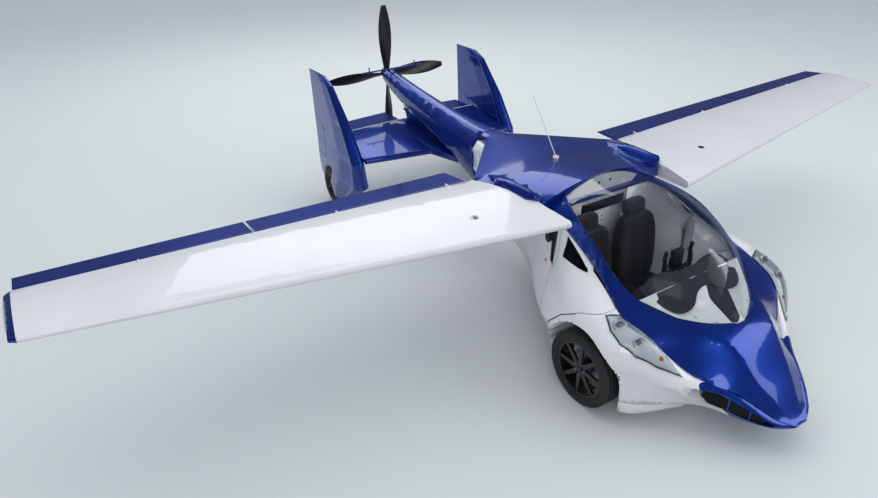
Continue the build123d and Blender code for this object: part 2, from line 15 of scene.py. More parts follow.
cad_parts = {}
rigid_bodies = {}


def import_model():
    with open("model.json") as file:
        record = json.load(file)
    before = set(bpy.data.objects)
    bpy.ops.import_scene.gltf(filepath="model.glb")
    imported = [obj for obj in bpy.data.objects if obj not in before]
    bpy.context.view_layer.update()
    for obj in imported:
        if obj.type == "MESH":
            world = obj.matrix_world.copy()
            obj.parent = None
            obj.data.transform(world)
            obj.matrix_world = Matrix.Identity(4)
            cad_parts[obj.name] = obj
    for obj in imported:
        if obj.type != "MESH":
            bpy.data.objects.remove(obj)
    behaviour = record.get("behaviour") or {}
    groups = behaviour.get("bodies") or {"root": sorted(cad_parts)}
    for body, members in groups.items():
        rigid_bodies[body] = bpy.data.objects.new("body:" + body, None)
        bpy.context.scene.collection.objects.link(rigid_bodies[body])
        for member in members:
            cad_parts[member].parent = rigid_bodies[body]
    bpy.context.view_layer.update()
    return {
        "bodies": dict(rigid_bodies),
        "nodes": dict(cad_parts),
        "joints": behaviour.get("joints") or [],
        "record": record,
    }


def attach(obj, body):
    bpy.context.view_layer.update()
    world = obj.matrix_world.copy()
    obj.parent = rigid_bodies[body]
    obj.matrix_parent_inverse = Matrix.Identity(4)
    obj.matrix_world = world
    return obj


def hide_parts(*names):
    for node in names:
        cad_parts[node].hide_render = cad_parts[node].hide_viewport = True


logging.basicConfig(level=logging.INFO, format="%(levelname)s %(message)s")
log = logging.getLogger("flying_car")

Point = tuple[float, float, float]
Colour = tuple[float, float, float, float]


class Body(Enum):
    """Bodies that extra pieces ride on."""

    AIRFRAME = "airframe"
    FRONT_WHEEL = "front_wheel_{}"


# Shader maths
@dataclass
class Sock:
    """A shader value that takes part in ordinary arithmetic."""

    graph: "Graph"
    socket: bpy.types.NodeSocket

    def _math(self, kind: str, a: object, b: object) -> "Sock":
        """One Math node of the given kind."""
        return self.graph.node("ShaderNodeMath", {"operation": kind}, {0: a, 1: b})

    def __add__(self, other: object) -> "Sock":
        """Sum."""
        return self._math("ADD", self, other)

    def __radd__(self, other: object) -> "Sock":
        """Sum, reflected."""
        return self._math("ADD", other, self)

    def __sub__(self, other: object) -> "Sock":
        """Difference."""
        return self._math("SUBTRACT", self, other)

    def __rsub__(self, other: object) -> "Sock":
        """Difference, reflected."""
        return self._math("SUBTRACT", other, self)

    def __mul__(self, other: object) -> "Sock":
        """Product."""
        return self._math("MULTIPLY", self, other)

    def __rmul__(self, other: object) -> "Sock":
        """Product, reflected."""
        return self._math("MULTIPLY", other, self)

    def smooth(self, low: float, high: float) -> "Sock":
        """Zero below low, one above high, with a soft step between."""
        return self.graph.node(
            "ShaderNodeMapRange",
            {"interpolation_type": "SMOOTHSTEP"},
            {"Value": self, "From Min": low, "From Max": high},
        )


class Graph:
    """Node tree of one material, or of the world."""

    def __init__(self, name: str, world: bool = False) -> None:
        """Starts an empty tree.

        Args:
            name: Name of the material or world.
            world: Whether the tree belongs to the world.
        """
        self.material = (bpy.data.worlds if world else bpy.data.materials).new(name)
        self.material.use_nodes = True
        self.tree = self.material.node_tree
        self.tree.nodes.clear()
        self.output = self.tree.nodes.new("ShaderNodeOutputWorld" if world else "ShaderNodeOutputMaterial")

    def node(self, kind: str, settings: dict, sockets: dict, out: object = 0) -> Sock:
        """Adds any node.

        Args:
            kind: Node type name.
            settings: Properties of the node.
            sockets: Values or links for its inputs, by name or number.
            out: Name or number of the output wanted.

        Returns:
            The wanted output as a Sock.
        """
        made = self.tree.nodes.new(kind)
        for key, value in settings.items():
            setattr(made, key, value)
        for key, value in sockets.items():
            self.put(made.inputs[key], value)
        return Sock(self, made.outputs[out])

    def put(self, target: bpy.types.NodeSocket, value: object) -> None:
        """Links a Sock to an input, or sets the input's own value.

        Args:
            target: Input of a node.
            value: A Sock, a number or a colour.
        """
        if isinstance(value, Sock):
            self.tree.links.new(value.socket, target)
        else:
            target.default_value = value

    def place(self) -> Sock:
        """Object coordinates, which are metres in the vehicle's frame."""
        return self.node("ShaderNodeTexCoord", {}, {}, "Object")

    def axis(self, name: str) -> Sock:
        """One coordinate of the object's own space."""
        return self.node("ShaderNodeSeparateXYZ", {}, {0: self.place()}, name)

    def noise(self, scale: float, detail: float = 3.0, stretch: Point = (1, 1, 1)) -> Sock:
        """Cloudy variation, scale in features per metre."""
        spread = {0: self.place(), 1: stretch}
        at = self.node("ShaderNodeVectorMath", {"operation": "MULTIPLY"}, spread)
        return self.node("ShaderNodeTexNoise", {}, {"Vector": at, "Scale": scale, "Detail": detail}, "Fac")

    def cells(self, scale: float, feature: str = "F1") -> Sock:
        """Distance to the nearest cell point or cell edge."""
        return self.node(
            "ShaderNodeTexVoronoi", {"feature": feature}, {"Vector": self.place(), "Scale": scale}, "Distance"
        )

    def mix(self, factor: object, a: object, b: object) -> Sock:
        """Colour between a and b."""
        return self.node(
            "ShaderNodeMix", {"data_type": "RGBA"}, {0: factor, 6: a, 7: b}, 2
        )

    def bump(self, height: Sock, strength: float, distance: float) -> Sock:
        """Surface normal from a height in metres times distance."""
        return self.node(
            "ShaderNodeBump", {}, {"Height": height, "Strength": strength, "Distance": distance}, "Normal"
        )

    def surface(self, sockets: dict) -> bpy.types.Material:
        """Ends the tree with one Principled shader and returns the material.

        Args:
            sockets: Values or links for its inputs.

        Returns:
            The finished material.
        """
        shader = self.node("ShaderNodeBsdfPrincipled", {}, sockets, "BSDF")
        self.put(self.output.inputs["Surface"], shader)
        return self.material


# Finishes
@dataclass(frozen=True)
class CarPaint:
    """Clear-coated paint with fine flakes, faint orange peel and a little dust low down."""

    name: str
    colour: Colour
    deep: Colour
    metallic: float = 0.0
    roughness: float = 0.35
    flakes: float = 0.0
    cloud_scale: float = 2.2
    cloud_range: tuple[float, float] = (0.35, 0.7)
    cloud_share: float = 0.6
    flake_scale: float = 900.0
    flake_range: tuple[float, float] = (0.15, 0.6)
    dust_heights: tuple[float, float] = (0.10, 0.38)
    dust_share: float = 0.10
    dust_colour: Colour = (0.42, 0.40, 0.37, 1.0)
    peel_scales: tuple[float, float] = (160.0, 420.0)
    peel_strength: float = 0.03
    peel_depth: float = 0.0004
    coat_roughness: float = 0.05

    def material(self) -> bpy.types.Material:
        """Builds the material.

        Returns:
            The finished material.
        """
        g = Graph(self.name)
        cloud = g.noise(self.cloud_scale, 2.0)
        flake = g.cells(self.flake_scale)
        shade = cloud.smooth(*self.cloud_range)
        base = g.mix(shade * self.cloud_share, self.colour, self.deep)
        dust = (1.0 - g.axis("Z").smooth(*self.dust_heights)) * self.dust_share * g.noise(14.0, 4.0)
        base = g.mix(dust, base, self.dust_colour)
        coarse, fine = self.peel_scales
        peel = g.noise(coarse, 1.0) * 0.6 + g.noise(fine, 1.0) * 0.25
        return g.surface({
            "Base Color": base,
            "Metallic": flake.smooth(*self.flake_range) * self.flakes + self.metallic,
            "Roughness": cloud * 0.06 + flake * 0.05 * self.flakes + self.roughness,
            "Coat Weight": 1.0,
            "Coat Roughness": self.coat_roughness,
            "Normal": g.bump(peel, self.peel_strength, self.peel_depth),
        })


@dataclass(frozen=True)
class Plastic:
    """Moulded plastic with a fine grain and slightly worn high spots."""

    name: str
    colour: Colour
    roughness: float = 0.5
    grain: float = 1100.0
    depth: float = 0.25
    wear_scale: float = 9.0
    wear_share: float = 0.5
    grain_height: float = 0.0006

    def material(self) -> bpy.types.Material:
        """Builds the material.

        Returns:
            The finished material.
        """
        g = Graph(self.name)
        grain = g.cells(self.grain)
        wear = g.noise(self.wear_scale, 4.0).smooth(0.5, 0.8)
        light = tuple(min(1.0, c * 1.5 + 0.01) for c in self.colour[:3]) + (1.0,)
        return g.surface({
            "Base Color": g.mix(wear * self.wear_share, self.colour, light),
            "Roughness": wear * 0.12 + grain * 0.1 + self.roughness,
            "Normal": g.bump(grain, self.depth, self.grain_height),
        })


@dataclass(frozen=True)
class Leather:
    """Soft black leather with pebbled grain, creases and a light sheen."""

    name: str
    colour: Colour
    pebble_scale: float = 330.0
    crease_scale: float = 26.0
    crease_stretch: Point = (1.0, 2.2, 0.7)
    roughness: float = 0.34
    sheen: float = 0.15
    bump_strength: float = 0.35
    bump_depth: float = 0.0012

    def material(self) -> bpy.types.Material:
        """Builds the material.

        Returns:
            The finished material.
        """
        g = Graph(self.name)
        pebble = g.cells(self.pebble_scale, "DISTANCE_TO_EDGE").smooth(0.0, 0.25)
        crease = g.noise(self.crease_scale, 5.0, self.crease_stretch)
        tone = g.noise(6.0, 3.0)
        light = tuple(c * 2.0 + 0.003 for c in self.colour[:3]) + (1.0,)
        return g.surface({
            "Base Color": g.mix(tone * 0.6, self.colour, light),
            "Roughness": (1.0 - pebble) * 0.2 + crease * 0.12 + self.roughness,
            "Sheen Weight": self.sheen,
            "Normal": g.bump(pebble * 0.4 + crease * 0.9, self.bump_strength, self.bump_depth),
        })


@dataclass(frozen=True)
class Rubber:
    """Tyre rubber, faintly dusty."""

    name: str
    clean: Colour = (0.012, 0.012, 0.013, 1.0)
    dusty: Colour = (0.045, 0.043, 0.040, 1.0)
    dust_scale: float = 22.0
    dust_share: float = 0.5
    roughness: float = 0.55
    pore_scale: float = 700.0
    pore_strength: float = 0.25
    pore_depth: float = 0.0006

    def material(self) -> bpy.types.Material:
        """Builds the material.

        Returns:
            The finished material.
        """
        g = Graph(self.name)
        dust = g.noise(self.dust_scale, 5.0).smooth(0.45, 0.75)
        return g.surface({
            "Base Color": g.mix(dust * self.dust_share, self.clean, self.dusty),
            "Roughness": dust * 0.15 + self.roughness,
            "Normal": g.bump(g.noise(self.pore_scale, 2.0), self.pore_strength, self.pore_depth),
        })


@dataclass(frozen=True)
class Metal:
    """Machined or painted metal with fine turning marks."""

    name: str
    colour: Colour
    roughness: float = 0.25
    metallic: float = 1.0
    coat: float = 0.0
    mark_scale: float = 60.0
    mark_stretch: Point = (1.0, 14.0, 1.0)
    smudge_scale: float = 11.0
    smudge_share: float = 0.7
    mark_strength: float = 0.12
    mark_depth: float = 0.0004

    def material(self) -> bpy.types.Material:
        """Builds the material.

        Returns:
            The finished material.
        """
        g = Graph(self.name)
        marks = g.noise(self.mark_scale, 6.0, self.mark_stretch)
        smudge = g.noise(self.smudge_scale, 3.0)
        dark = tuple(c * 0.7 for c in self.colour[:3]) + (1.0,)
        return g.surface({
            "Base Color": g.mix(smudge * self.smudge_share, self.colour, dark),
            "Metallic": self.metallic,
            "Roughness": marks * 0.12 + smudge * 0.08 + self.roughness,
            "Coat Weight": self.coat,
            "Normal": g.bump(marks, self.mark_strength, self.mark_depth),
        })


@dataclass(frozen=True)
class Glass:
    """Thin clear or tinted glazing; most light passes straight through."""

    name: str
    tint: Colour
    clear: float = 0.9
    gloss: float = 0.02
    haze_scale: float = 18.0
    edge_blend: float = 0.25
    clear_share: float = 0.45

    def material(self) -> bpy.types.Material:
        """Builds the material.

        Returns:
            The finished material.
        """
        g = Graph(self.name)
        haze = g.noise(self.haze_scale, 4.0).smooth(0.55, 0.9)
        shine = g.node("ShaderNodeBsdfGlossy", {}, {"Roughness": haze * 0.04 + self.gloss}, "BSDF")
        through = g.node("ShaderNodeBsdfTransparent", {}, {"Color": self.tint}, "BSDF")
        rim = g.node("ShaderNodeLayerWeight", {}, {"Blend": self.edge_blend}, "Fresnel")
        factor = rim * (1.0 - self.clear * self.clear_share) + haze * 0.015
        blend = g.node("ShaderNodeMixShader", {}, {0: factor, 1: through, 2: shine}, "Shader")
        g.put(g.output.inputs["Surface"], blend)
        return g.material


@dataclass(frozen=True)
class Lamp:
    """Faintly glowing or reflective lamp part."""

    name: str
    colour: Colour
    strength: float = 0.0
    rib_scale: float = 90.0
    roughness: float = 0.12
    metallic: float = 0.6

    def material(self) -> bpy.types.Material:
        """Builds the material.

        Returns:
            The finished material.
        """
        g = Graph(self.name)
        ribs = g.noise(self.rib_scale, 1.0)
        return g.surface({
            "Base Color": g.mix(ribs, self.colour, tuple(c * 0.75 for c in self.colour[:3]) + (1.0,)),
            "Roughness": ribs * 0.1 + self.roughness,
            "Metallic": self.metallic,
            "Emission Color": self.colour,
            "Emission Strength": self.strength,
        })


@dataclass(frozen=True)
class Floor:
    """Sealed pale floor with faint clouds; the camera sees it paler than the car does."""

    name: str
    seen_pale: Colour = (0.70, 0.73, 0.72, 1.0)
    seen_deep: Colour = (0.61, 0.64, 0.63, 1.0)
    bounced: Colour = (0.52, 0.54, 0.53, 1.0)
    cloud_scale: float = 0.35
    fine_scale: float = 30.0
    roughness: float = 0.75
    specular: float = 0.08

    def material(self) -> bpy.types.Material:
        """Builds the material.

        Returns:
            The finished material.
        """
        g = Graph(self.name)
        cloud = g.noise(self.cloud_scale, 5.0)
        fine = g.noise(self.fine_scale, 3.0)
        seen = g.mix(cloud * 0.5 + fine * 0.1, self.seen_pale, self.seen_deep)
        direct = g.node("ShaderNodeLightPath", {}, {}, "Is Camera Ray")
        return g.surface({
            "Base Color": g.mix(direct, self.bounced, seen),
            "Roughness": cloud * 0.15 + self.roughness,
            "Specular IOR Level": self.specular,
        })


BLUE = CarPaint("paint_blue_metallic", (0.002, 0.046, 0.40, 1.0), (0.003, 0.026, 0.26, 1.0), 0.55, 0.28, 0.25)
WHITE = CarPaint("paint_white_gloss", (0.80, 0.81, 0.82, 1.0), (0.74, 0.75, 0.77, 1.0), 0.0, 0.30, 0.0)
SCREEN = Glass("clear_screen", (0.975, 0.985, 0.985, 1.0), 1.75)
TINT = Glass("dark_window", (0.06, 0.07, 0.09, 1.0), 0.55)
LENS = Glass("lamp_lens", (0.95, 0.97, 0.98, 1.0), 0.85)
BLACK = Plastic("black_plastic", (0.016, 0.016, 0.018, 1.0), 0.48)
SLATE = Plastic("slate_pad", (0.022, 0.025, 0.032, 1.0), 0.62, 700.0, 0.4)
LINER = Plastic("pale_liner", (0.62, 0.63, 0.63, 1.0), 0.5, 900.0, 0.15)
# Painted shade: near-black matte standing in for the shaded inside of the nose intake.
INTAKE_SHADE = Plastic("intake_black", (0.003, 0.003, 0.004, 1.0), 0.85, 500.0, 0.05)
GLOSS_BLACK = Plastic("gloss_black", (0.010, 0.010, 0.012, 1.0), 0.12, 500.0, 0.05)
BLADE = Plastic("blade_composite", (0.012, 0.012, 0.014, 1.0), 0.22, 1500.0, 0.08)
LEATHER = Leather("black_leather", (0.006, 0.006, 0.007, 1.0))
RUBBER = Rubber("tyre_rubber")
ALLOY = Metal("black_alloy", (0.020, 0.020, 0.023, 1.0), 0.18, 0.5, 0.7)
STEEL = Metal("bright_steel", (0.62, 0.63, 0.66, 1.0), 0.22)
CAST = Metal("cast_grey", (0.22, 0.22, 0.24, 1.0), 0.45, 0.8)
SILVER = Lamp("lamp_silver", (0.62, 0.64, 0.68, 1.0), 0.05)
WHITE_LAMP = Lamp("lamp_white", (0.85, 0.90, 0.98, 1.0), 0.35)
AMBER = Lamp("lamp_amber", (0.75, 0.20, 0.02, 1.0), 0.12)
RED_LAMP = Lamp("lamp_red", (0.55, 0.02, 0.02, 1.0), 0.10)
WHITE_BOWL = Plastic("lamp_bowl", (0.62, 0.63, 0.65, 1.0), 0.22, 300.0, 0.05)
LINER_LAMP = Lamp("lamp_eye", (0.42, 0.44, 0.47, 1.0), 0.0)


class Wardrobe:
    """Materials made once and shared."""

    def __init__(self) -> None:
        self._made: dict[str, bpy.types.Material] = {}

    def get(self, finish: object) -> bpy.types.Material:
        """The material of a finish, built on first use.

        Args:
            finish: Any of the finishes above.

        Returns:
            The one material of that finish.
        """
        if finish.name not in self._made:
            self._made[finish.name] = finish.material()
        return self._made[finish.name]


WARDROBE = Wardrobe()
SLOT_OF = {
    BLUE.name: "paint_blue", WHITE.name: "paint_white", SCREEN.name: "screen_glass", TINT.name: "dark_glass",
    LENS.name: "screen_glass", RUBBER.name: "tyre", ALLOY.name: "alloy_black", STEEL.name: "steel",
    CAST.name: "cast_grey", LEATHER.name: "black_leather", LINER.name: "paint_white", SILVER.name: "steel",
    WHITE_LAMP.name: "steel", AMBER.name: "steel", RED_LAMP.name: "steel",
}


# Modelling
class Bench:
    """Mesh building as by hand, through Blender's own operators."""

    @staticmethod
    def pick(obj: bpy.types.Object) -> bpy.types.Object:
        """Makes one object the only selected and active one.

        Args:
            obj: Object to work on.

        Returns:
            The same object.
        """
        if bpy.context.mode != "OBJECT":
            bpy.ops.object.mode_set(mode="OBJECT")
        bpy.ops.object.select_all(action="DESELECT")
        obj.select_set(True)
        bpy.context.view_layer.objects.active = obj
        return obj

    @staticmethod
    def named(name: str) -> bpy.types.Object:
        """Names the object that an operator has just added.

        Args:
            name: New name of object and mesh.

        Returns:
            The object.
        """
        obj = bpy.context.view_layer.objects.active
        obj.name = name
        obj.data.name = name
        return obj

    @staticmethod
    def new(name: str, points: Sequence[Sequence[float]], faces: Sequence[Sequence[int]] = (),
            edges: Sequence[Sequence[int]] = ()) -> bpy.types.Object:
        """A new mesh object at the origin.

        Args:
            name: Name of the piece.
            points: Corners in metres.
            faces: Corner numbers of each face.
            edges: Corner numbers of each edge.

        Returns:
            The object.
        """
        mesh = bpy.data.meshes.new(name)
        mesh.from_pydata([tuple(p) for p in points], list(edges), list(faces))
        obj = bpy.data.objects.new(name, mesh)
        bpy.context.scene.collection.objects.link(obj)
        return obj

    @staticmethod
    def apply(obj: bpy.types.Object) -> bpy.types.Object:
        """Applies place, turn and scale."""
        Bench.pick(obj)
        bpy.ops.object.transform_apply(location=True, rotation=True, scale=True)
        return obj

    @staticmethod
    def smooth(obj: bpy.types.Object, degrees: float = 35.0) -> bpy.types.Object:
        """Smooth shading that keeps edges sharper than the angle.

        Args:
            obj: Object to shade.
            degrees: Largest angle that stays smooth.

        Returns:
            The same object.
        """
        Bench.pick(obj)
        bpy.ops.object.shade_smooth_by_angle(angle=math.radians(degrees))
        return obj

    @staticmethod
    def edit(obj: bpy.types.Object, mode: str = "FACE") -> None:
        """Opens edit mode with nothing selected.

        Args:
            obj: Object to edit.
            mode: VERT, EDGE or FACE.
        """
        Bench.pick(obj)
        bpy.ops.object.mode_set(mode="EDIT")
        bpy.ops.mesh.select_mode(type=mode)
        bpy.ops.mesh.select_all(action="DESELECT")

    @staticmethod
    def done() -> None:
        """Leaves edit mode."""
        bpy.ops.object.mode_set(mode="OBJECT")

    @staticmethod
    def faces(obj: bpy.types.Object, test: Callable[[Vector, Vector], bool]) -> None:
        """Opens edit mode with the faces selected that pass a test of centre and normal.

        Args:
            obj: Object to edit.
            test: Says yes or no to a face, by its centre and normal.
        """
        Bench.edit(obj, "FACE")
        bm = bmesh.from_edit_mesh(obj.data)
        for f in bm.faces:
            f.select = bool(test(f.calc_center_median(), f.normal))
        bmesh.update_edit_mesh(obj.data)

    @staticmethod
    def modify(obj: bpy.types.Object, kind: str, **settings: object) -> bpy.types.Object:
        """Adds a modifier, sets it and applies it.

        Args:
            obj: Object to change.
            kind: Type of the modifier.
            **settings: Its properties.

        Returns:
            The same object.
        """
        Bench.pick(obj)
        mod = obj.modifiers.new(kind.lower(), kind)
        for key, value in settings.items():
            setattr(mod, key, value)
        bpy.ops.object.modifier_apply(modifier=mod.name)
        return obj

    @staticmethod
    def block(name: str, low: Point, high: Point, bevel: float = 0.0, segments: int = 2) -> bpy.types.Object:
        """A box between two corners with rounded edges.

        Args:
            name: Name of the piece.
            low: Lowest corner.
            high: Highest corner.
            bevel: Width of the rounding, or 0.
            segments: Steps of the rounding.

        Returns:
            The object.
        """
        centre = [(a + b) / 2 for a, b in zip(low, high)]
        bpy.ops.mesh.primitive_cube_add(size=1.0, location=centre)
        obj = Bench.named(name)
        obj.scale = [b - a for a, b in zip(low, high)]
        Bench.apply(obj)
        if bevel:
            Bench.modify(obj, "BEVEL", width=bevel, segments=segments)
        return Bench.smooth(obj, 50.0)

    @staticmethod
    def lathe(name: str, profile: Sequence[tuple[float, float]], centre: Point, axis: Point,
              steps: int = 48) -> bpy.types.Object:
        """A turned piece from (radius, offset along the axis) points, spun about its axis.

        Args:
            name: Name of the piece.
            profile: Radius and offset pairs.
            centre: Point on the axis with offset 0.
            axis: Way that offsets count along.
            steps: Corners around.

        Returns:
            The object.
        """
        along = Vector(axis).normalized()
        side = along.orthogonal().normalized()
        mid = Vector(centre)
        points = [mid + side * r + along * h for r, h in profile]
        obj = Bench.new(name, points, edges=[(i, i + 1) for i in range(len(points) - 1)])
        Bench.edit(obj, "VERT")
        bpy.ops.mesh.select_all(action="SELECT")
        bpy.ops.mesh.spin(steps=steps, angle=math.tau, center=mid, axis=along)
        bpy.ops.mesh.select_all(action="SELECT")
        bpy.ops.mesh.remove_doubles(threshold=1e-5)
        bpy.ops.mesh.normals_make_consistent(inside=False)
        Bench.done()
        return Bench.smooth(obj)

    @staticmethod
    def tube(name: str, points: Sequence[Sequence[float]], radius: float,
             closed: bool = False) -> bpy.types.Object:
        """A round bar along a smooth line.

        Args:
            name: Name of the piece.
            points: Points of the line.
            radius: Half of the thickness.
            closed: Whether the line is a ring.

        Returns:
            The object.
        """
        curve = bpy.data.curves.new(name, "CURVE")
        curve.dimensions = "3D"
        curve.bevel_depth = radius
        curve.bevel_resolution = 3
        curve.use_fill_caps = True
        line = curve.splines.new("POLY")
        line.points.add(len(points) - 1)
        for spot, p in zip(line.points, points):
            spot.co = (*p, 1.0)
        line.use_cyclic_u = closed
        obj = bpy.data.objects.new(name, curve)
        bpy.context.scene.collection.objects.link(obj)
        Bench.pick(obj)
        bpy.ops.object.convert(target="MESH")
        return Bench.smooth(Bench.named(name), 60.0)

    @staticmethod
    def patch(name: str, across: int, along: int,
              place: Callable[[float, float], Sequence[float]]) -> bpy.types.Object:
        """A sheet of across by along cells, each corner placed by its u and v from 0 to 1.

        Args:
            name: Name of the piece.
            across: Cells along u.
            along: Cells along v.
            place: Gives the point for u and v.

        Returns:
            The object.
        """
        bpy.ops.mesh.primitive_grid_add(x_subdivisions=across, y_subdivisions=along, size=1.0)
        obj = Bench.named(name)
        for vertex in obj.data.vertices:
            vertex.co = Vector(place(vertex.co.x + 0.5, vertex.co.y + 0.5))
        obj.data.update()
        return obj

    @staticmethod
    def rings(name: str, middle: Sequence[float],
              loops: Sequence[Sequence[Sequence[float]]]) -> bpy.types.Object:
        """A sheet of closed loops around a middle point.

        Args:
            name: Name of the piece.
            middle: Point that the innermost loop closes on.
            loops: Loops of equally many points, innermost first.

        Returns:
            The object.
        """
        count = len(loops[0])
        points = [middle] + [p for loop in loops for p in loop]
        faces = []
        for i in range(count):
            j = (i + 1) % count
            faces.append((0, 1 + i, 1 + j))
            for r in range(len(loops) - 1):
                a, b = 1 + r * count, 1 + (r + 1) * count
                faces.append((a + i, b + i, b + j, a + j))
        return Bench.new(name, points, faces)

    @staticmethod
    def mirrored(obj: bpy.types.Object, name: str) -> bpy.types.Object:
        """A copy with its own mesh on the other side of the vehicle.

        Args:
            obj: Piece of the left side.
            name: Name of the copy.

        Returns:
            The copy.
        """
        mesh = obj.data.copy()
        mesh.transform(Matrix.Scale(-1.0, 4, (0, 1, 0)))
        mesh.flip_normals()
        twin = bpy.data.objects.new(name, mesh)
        bpy.context.scene.collection.objects.link(twin)
        return twin


def fit(obj: bpy.types.Object, finish: object, body: str = Body.AIRFRAME.value,
        *stands_for: str) -> bpy.types.Object:
    """Gives a piece its finish and body, and hides the CAD nodes it stands for.

    Args:
        obj: The piece.
        finish: Any of the finishes above.
        body: Body that it rides on.
        *stands_for: CAD nodes that it replaces.

    Returns:
        The same object.
    """
    obj.data.materials.clear()
    obj.data.materials.append(WARDROBE.get(finish))
    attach(obj, body)
    SLOT_OF.get(finish.name, "black_plastic")
    if stands_for:
        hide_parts(*stands_for)
    log.info("piece %s on %s, %d faces", obj.name, body, len(obj.data.polygons))
    return obj


def fit_pair(obj: bpy.types.Object, finish: object, body: str = Body.AIRFRAME.value) -> list[bpy.types.Object]:
    """Fits a left piece and its mirrored copy; names end in left and right.

    Args:
        obj: Left piece.
        finish: Any of the finishes above.
        body: Body, with {} for the side where it has one.

    Returns:
        Both pieces, left first.
    """
    twin = Bench.mirrored(obj, obj.name.replace("left", "right"))
    out = [fit(obj, finish, body.format("left")), fit(twin, finish, body.format("right"))]
    return out


class Skin:
    """Ray casts on the bodywork, so that small fittings sit on it."""

    def __init__(self, frame: dict, nodes: Iterable[str]) -> None:
        """Gathers the faces of some CAD nodes.

        Args:
            nodes: Names of the CAD nodes.
        """
        points: list[Vector] = []
        faces: list[tuple[int, ...]] = []
        for node in nodes:
            mesh = frame["nodes"][node].data
            start = len(points)
            points += [v.co.copy() for v in mesh.vertices]
            faces += [tuple(start + i for i in p.vertices) for p in mesh.polygons]
        self.tree = BVHTree.FromPolygons(points, faces)

    def hit(self, start: Point, way: Point) -> tuple[Optional[Vector], Vector]:
        """First point met from start along way, and the surface normal facing back.

        Args:
            start: Where the ray starts.
            way: Where it points.

        Returns:
            The point and the normal; the nearest point where the ray misses.
        """
        where, normal, _, _ = self.tree.ray_cast(Vector(start), Vector(way).normalized())
        if where is None:
            where, normal, _, _ = self.tree.find_nearest(Vector(start))
        if normal.dot(Vector(way)) > 0:
            normal = -normal
        return where, normal

    def near(self, point: Sequence[float], lift: float) -> Vector:
        """The nearest surface point, lifted off along the way towards the given point.

        Args:
            point: A point near the surface.
            lift: Metres off the surface.

        Returns:
            The lifted point.
        """
        where, normal, _, _ = self.tree.find_nearest(Vector(point))
        out = Vector(point) - where
        if out.length > 1e-6 and normal.dot(out) < 0:
            normal = -normal
        return where + normal * lift


# Sub-assemblies
@dataclass
class Bodywork:
    """Painted and glazed CAD nodes, copied, merged and smoothed so that gloss runs evenly.

    The plain ones keep their CAD mesh and only get a material.
    """

    frame: dict
    rake_at: Point = (2.392, 0.0, 0.470)
    rake_way: Point = (0.8, 0.0, 0.6)
    merge: float = 2e-5
    crease: float = 32.0
    fin_crease: float = 22.0
    weight: int = 80
    plain: tuple[str, ...] = ("engine", "seat", "front_tyre", "rear_tyre")
    unweighted: tuple[str, ...] = ("fender", "side_post")
    finish_of: dict[str, object] = field(default_factory=lambda: {
        "nose_and_canopy_frame": BLUE, "roof_deck": BLUE, "tail_boom": BLUE, "tail_pylon": BLUE,
        "tailplane": BLUE, "crossbar": BLUE, "nose_keel": BLUE, "fin": BLUE, "rudder": BLUE, "elevator": BLUE,
        "flap": BLUE, "aileron": BLUE, "tip_cap": BLUE, "wing": WHITE, "fender": WHITE, "side_post": WHITE,
        "door_window": TINT, "door": WHITE, "rear_body": WHITE, "floor_pan": WHITE, "bulkhead": LINER,
        "windscreen": SCREEN, "propeller": BLADE, "front_tyre": RUBBER, "rear_tyre": RUBBER,
        "front_rim": ALLOY, "rear_rim": ALLOY, "rear_axle": STEEL, "knuckle": CAST, "upper_arm": BLACK,
        "lower_arm": BLACK, "engine": CAST, "antenna": WHITE, "dashboard": SLATE, "yoke": BLACK,
        "seat": LEATHER,
    })

    def finish(self, node: str) -> object:
        """The finish of a CAD node, by its name without the side."""
        stem = node.replace("_left", "").replace("_right", "")
        return self.finish_of[stem]

    def body(self, node: str) -> str:
        """Finds the body that a CAD node rides on.

        Args:
            node: Name of the node.

        Returns:
            Name of the body.
        """
        for name, nodes in self.frame["record"]["behaviour"]["bodies"].items():
            if node in nodes:
                return name
        return Body.AIRFRAME.value

    def skin(self, node: str, degrees: float) -> None:
        """Copies one node, merges its loose triangles and smooths it.

        Args:
            node: Name of the node.
            degrees: Largest angle that stays smooth.
        """
        source = self.frame["nodes"][node]
        obj = bpy.data.objects.new(node + "_skin", source.data.copy())
        bpy.context.scene.collection.objects.link(obj)
        Bench.edit(obj, "VERT")
        bpy.ops.mesh.select_all(action="SELECT")
        bpy.ops.mesh.remove_doubles(threshold=self.merge)
        bpy.ops.mesh.normals_make_consistent(inside=False)
        Bench.done()
        Bench.smooth(obj, degrees)
        if not node.startswith(self.unweighted):
            Bench.modify(obj, "WEIGHTED_NORMAL", keep_sharp=True, weight=self.weight)
        fit(obj, self.finish(node), self.body(node), node)

    def nose_split(self, node: str) -> None:
        """Cuts the fender's skin at the raked paint line; the part ahead of it turns blue.

        Args:
            node: Name of the fender's node.
        """
        rear = bpy.data.objects[node + "_skin"]
        front = bpy.data.objects.new(node.replace("fender", "fender_nose"), rear.data.copy())
        bpy.context.scene.collection.objects.link(front)
        for obj, ahead in ((rear, False), (front, True)):
            Bench.faces(obj, lambda c, n: True)
            bpy.ops.mesh.bisect(plane_co=self.rake_at, plane_no=self.rake_way, use_fill=True,
                                clear_inner=ahead, clear_outer=not ahead)
            Bench.done()
            Bench.smooth(obj, self.crease)
        fit(front, BLUE)

    def build(self) -> None:
        """Finishes every CAD node."""
        for node in sorted(self.frame["nodes"]):
            if node.startswith(self.plain):
                data = self.frame["nodes"][node].data
                data.materials.clear()
                data.materials.append(WARDROBE.get(self.finish(node)))
                continue
            self.skin(node, self.fin_crease if "fin" in node else self.crease)
            if node.startswith("fender"):
                self.nose_split(node)


